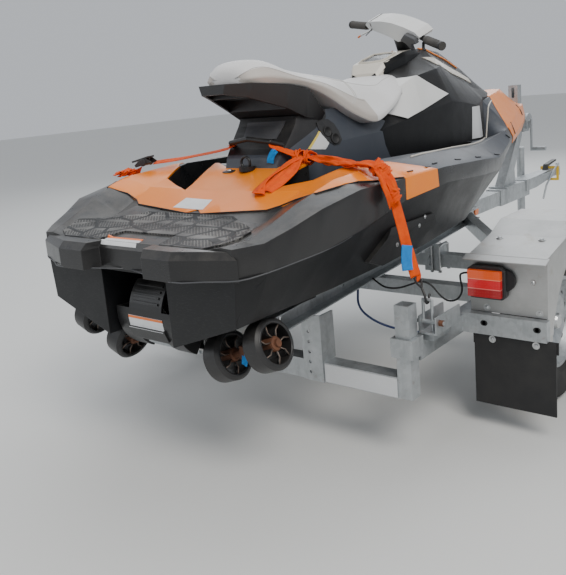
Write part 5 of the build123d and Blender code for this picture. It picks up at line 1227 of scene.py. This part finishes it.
# Rollers: brown hubs, rings and worn bent spokes in their faces, and blue ties on the shafts
ROLLER_TILT = math.radians(19.9)
ROLLER_MIDDLE = Vector((0.320, 0.200, 0.4523))
SHAFT_REACH = 0.0225
ROLLER_APART, ROLLER_HALF, HUB_HALF = 0.090, 0.0335, 0.030
SPOKES, SPOKE_DEEP, SPOKE_SHALLOW, SPOKE_HALF = 7, 0.0145, 0.0045, 0.002
SPOKE_LINE = ((0.019, 0.0), (0.040, 0.007), (0.061, 0.0))  # outward and aside
HUB = ((0.0205, 0), (0.0205, 0.003), (0.0150, 0.005), (0.0120, 0.005))
RING = ((0.0605, -0.002), (0.0605, 0.0015), (0.0640, 0.0030), (0.0685, 0.0025), (0.0695, -0.001))
TIES = ((-0.018, 0.0150), (-0.006, 0.0165), (0.006, 0.0155))  # along the shaft and radius
TIE_TAIL = ((0, -0.015, 0.004), (0.004, -0.021, -0.016), (-0.004, -0.017, -0.040))


def roller_axis(side):
    return Vector((side * math.cos(ROLLER_TILT), 0, math.sin(ROLLER_TILT)))


def is_roller_shaft(x, y, z):
    out, axis = Vector((abs(x), y, z)) - ROLLER_MIDDLE, roller_axis(1)
    return (out - axis * out.dot(axis)).length < SHAFT_REACH


for node in ("rollers_right", "rollers_left", "roller_carriers"):
    dress_where(node, "rust", is_roller_shaft)
ties = Pile()
for side, name in SIDES.items():
    axis = roller_axis(side)
    across = axis.cross(AHEAD)
    centre = at(side * ROLLER_MIDDLE.x, ROLLER_MIDDLE.y, ROLLER_MIDDLE.z)
    hubs, spokes, worn = Pile(), Pile(), Pile()
    for reach in (-ROLLER_APART, ROLLER_APART):
        for end in (-1, 1):
            hubs.lathe(centre + axis * (reach + end * HUB_HALF), axis * end, HUB, 20)
            face = centre + axis * (reach + end * ROLLER_HALF)
            spokes.lathe(face - axis * end * 0.001, axis * end, RING, 48, hollow=True)
            deep, shallow = face - axis * end * SPOKE_DEEP, face - axis * end * SPOKE_SHALLOW
            for index in range(SPOKES):
                angle = 2 * math.pi * index / SPOKES
                out = AHEAD * math.cos(angle) + across * math.sin(angle)
                aside = across * math.cos(angle) - AHEAD * math.sin(angle)
                bent = [out * outward + aside * sideways for outward, sideways in SPOKE_LINE]
                flank = aside * -SPOKE_HALF
                for near, far in zip(bent, bent[1:]):
                    corners = [deep + near, deep + far, shallow + far, shallow + near]
                    spokes.slab([corner + flank for corner in corners], flank * -2)
                worn.bar([shallow + point for point in bent], 0.0021, 6)
    worn.piece("spoke_edges_" + name, "worn", body="roller_set_" + name, smooth=True)
    spokes.piece("roller_rings_" + name, "pump", body="roller_set_" + name, smooth=True)
    hubs.piece("roller_hubs_" + name, "rust", body="roller_set_" + name, smooth=True)
    for along, radius in TIES:
        round_tie = ((radius - 0.002, 0), (radius, 0.002), (radius, 0.012), (radius - 0.002, 0.014))
        ties.lathe(centre + axis * along, axis, round_tie)
    ties.web([centre + Vector(p) for p in TIE_TAIL], (REARWARD,) * 3, 0.020, 0.002, 0.001, 60, 4)
ties.piece("roller_ties", "tag", smooth=True)

# Red tie on the lamp cable
red_tie = Pile()
tie_ring = ((0.0042, -0.002), (0.0052, -0.002), (0.0052, 0.002), (0.0042, 0.002))
red_tie.lathe(at(0.468, 0.953, 0.484), (0.9, 0, -0.35), tie_ring, 12)
red_tie.bar(places(((0.468, 0.949, 0.488), (0.474, 0.940, 0.500), (0.484, 0.930, 0.506))), 0.0012, 6, 3)
red_tie.piece("red_tie", "tie")

# Road wheels: grooved tread on the tyre's own profile, hub cap, nuts and the rim's holes
WHEEL_X, WHEEL_Y, TYRE_RADIUS, RIM_RADIUS = 0.815, 1.290, 0.289, 0.168
GROOVES, GROOVE_DEEP, CROWN = (-0.036, -0.012, 0.012, 0.036), 0.007, 0.6
TYRE_STEPS, BLOCK_EVERY, BLOCK_CUT = 168, 4, 0.0045
NUT_COUNT, NUT_CIRCLE, HOLE_COUNT, HOLE_CIRCLE = 4, 0.049, 12, 0.115
HUB_CAP = ((0.030, 0), (0.030, 0.020), (0.026, 0.028), (0.012, 0.031))
NUT = ((0.0105, 0), (0.0105, 0.014), (0.007, 0.018))
RIM_HOLE = ((0.011, -0.004), (0.011, 0.0012))


def tyre_profile():
    """Half width and radius round the tyre's section, from the inner bead to the outer one."""
    wall = [
        (0.056, RIM_RADIUS), (0.070, RIM_RADIUS + 0.012), (0.0765, RIM_RADIUS + 0.045), (0.0775, 0.232),
        (0.0750, 0.257), (0.0660, 0.2745), (0.0545, 0.2855),
    ]
    tread = []
    for middle in GROOVES:
        for shift, depth in ((-0.0042, 0.0), (-0.0028, GROOVE_DEEP), (0.0028, GROOVE_DEEP), (0.0042, 0.0)):
            tread.append((middle + shift, TYRE_RADIUS - depth - CROWN * middle * middle))
    return [(-x, r) for x, r in wall] + tread + wall[::-1]


def on_wheel(x, radius, angle):
    return at(x, WHEEL_Y + radius * math.sin(angle), TYRE_RADIUS + radius * math.cos(angle))


def tyre_loop(side, step):
    """Section of the tyre at one step round it; every fourth one is cut in at the shoulders."""
    angle = 2 * math.pi * step / TYRE_STEPS
    loop = []
    for x, radius in tyre_profile():
        is_shoulder = 0.040 < abs(x) < 0.070 and radius > 0.27
        cut = BLOCK_CUT if is_shoulder and step % BLOCK_EVERY == 0 else 0.0
        loop.append(on_wheel(side * WHEEL_X + x, radius - cut, angle))
    return loop


for side, name in SIDES.items():
    loops = [tyre_loop(side, step) for step in range(TYRE_STEPS)]
    points, faces = skin(loops + loops[:1], False)
    count = len(points) - len(loops[0])
    faces = [tuple(i % count for i in face) for face in faces]
    body, node = "wheel_" + name, "tyre_" + name
    tyre = solid("tyre_tread_" + name, points[:count], faces, "tyre", body, slot="black_rubber")
    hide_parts(node)
    nuts, holes, out = Pile(), Pile(), Vector((side, 0, 0))
    nuts.lathe(at(side * (WHEEL_X + 0.020), WHEEL_Y, TYRE_RADIUS), out, HUB_CAP, 26)
    for index in range(NUT_COUNT):
        angle = 2 * math.pi * (index + 0.5) / NUT_COUNT
        nuts.lathe(on_wheel(side * (WHEEL_X + 0.004), NUT_CIRCLE, angle), out, NUT, 6)
    nuts.piece("wheel_nuts_" + name, "bright", body=body)
    for index in range(HOLE_COUNT):
        angle = 2 * math.pi * (index + 0.5) / HOLE_COUNT
        holes.lathe(on_wheel(side * (WHEEL_X + 0.0268), HOLE_CIRCLE, angle), out, RIM_HOLE, 18)
    holes.piece("rim_holes_" + name, "hook", body=body)

# Plate's blue end, coupling's handle, caps and knobs
PLATE_BAND = places(((-0.675, 0.3, 0.354), (-0.675, 0.3, 0.462), (-0.632, 0.3, 0.462), (-0.632, 0.3, 0.354)))
label("plate_band", caster("plate_holder"), PLATE_BAND, AHEAD, "band_blue", lift=0.0008)
dress_where("coupling", "trim", lambda x, y, z: abs(x) < 0.0142 and z > 0.541)
dress_where("jockey_tube", "trim", lambda x, y, z: z > 0.722)
dress_where("plate_holder", "zinc", lambda x, y, z: 0.3325 < y < 0.5)

# Floor
FLOOR_HALF = 30.0
floor_mesh = bpy.data.meshes.new("floor")
floor_corners = [(x * FLOOR_HALF, y * FLOOR_HALF, 0) for x, y in ((-1, -1), (1, -1), (1, 1), (-1, 1))]
floor_mesh.from_pydata(floor_corners, [], [(0, 1, 2, 3)])
floor = bpy.data.objects.new("floor", floor_mesh)
bpy.context.scene.collection.objects.link(floor)
floor_recipe = Recipe("pale_floor", 0.85)
floor_recipe.colour((0.72, 0.72, 0.70))
floor_mesh.materials.append(floor_recipe.material)

# Light
world = bpy.data.worlds.new("studio")
world.use_nodes = True
background = world.node_tree.nodes["Background"]
background.inputs["Color"].default_value = (0.90, 0.94, 1.0, 1)
background.inputs["Strength"].default_value = 0.62
bpy.context.scene.world = world
LIGHTS = (
    # name, place, target, size, power, colour
    ("key", (4.0, -3.5, 5.0), (0, -0.6, 0.8), (2.4, 2.4), 250, (1.0, 0.97, 0.92)),
    ("sky", (-1.5, 1.5, 6.0), (0, -0.3, 0.6), (6.0, 6.0), 150, (0.94, 0.97, 1.0)),
    ("gloss", (-3.5, 5.5, 3.6), (0, -0.6, 0.8), (6.0, 3.0), 120, (0.95, 0.98, 1.0)),
    ("fill", (-4.5, -5.0, 2.6), (0, -0.6, 0.6), (3.0, 3.0), 35, (0.95, 0.97, 1.0)),
)
for name, place, target, size, power, colour in LIGHTS:
    data = bpy.data.lights.new(name, "AREA")
    data.shape = "RECTANGLE"
    data.size, data.size_y = size
    data.energy = power
    data.color = colour
    lamp = bpy.data.objects.new(name, data)
    bpy.context.scene.collection.objects.link(lamp)
    lamp.location = place
    lamp.rotation_euler = (Vector(target) - Vector(place)).to_track_quat("-Z", "Y").to_euler()

# Camera, solved from the photo: focal length and shift in its pixels
LENS_PX, SHIFT_PX, FRAME_LONG_PX, SENSOR = 737.4, -43.2, 575, 36.0
EYE = at(1.767, -1.311, 1.204)
AZIMUTH, ELEVATION, ROLL = math.radians(40.15), math.radians(-11.84), math.radians(-4.94)
camera_data = bpy.data.cameras.new("camera")
camera_data.sensor_width = SENSOR
camera_data.lens = LENS_PX * SENSOR / FRAME_LONG_PX
camera_data.shift_y = SHIFT_PX / FRAME_LONG_PX
camera_data.clip_start, camera_data.clip_end = 0.05, 100
camera = bpy.data.objects.new("camera", camera_data)
bpy.context.scene.collection.objects.link(camera)
level = Vector((math.cos(AZIMUTH), math.sin(AZIMUTH), 0))
ahead = Vector((-math.sin(AZIMUTH), math.cos(AZIMUTH), 0))
forward = ahead * math.cos(ELEVATION) + UP * math.sin(ELEVATION)
upright = level.cross(forward)
right = level * math.cos(ROLL) + upright * math.sin(ROLL)
above = upright * math.cos(ROLL) - level * math.sin(ROLL)
camera.matrix_world = Matrix.Translation(EYE) @ Matrix((right, above, -forward)).transposed().to_4x4()
bpy.context.scene.camera = camera
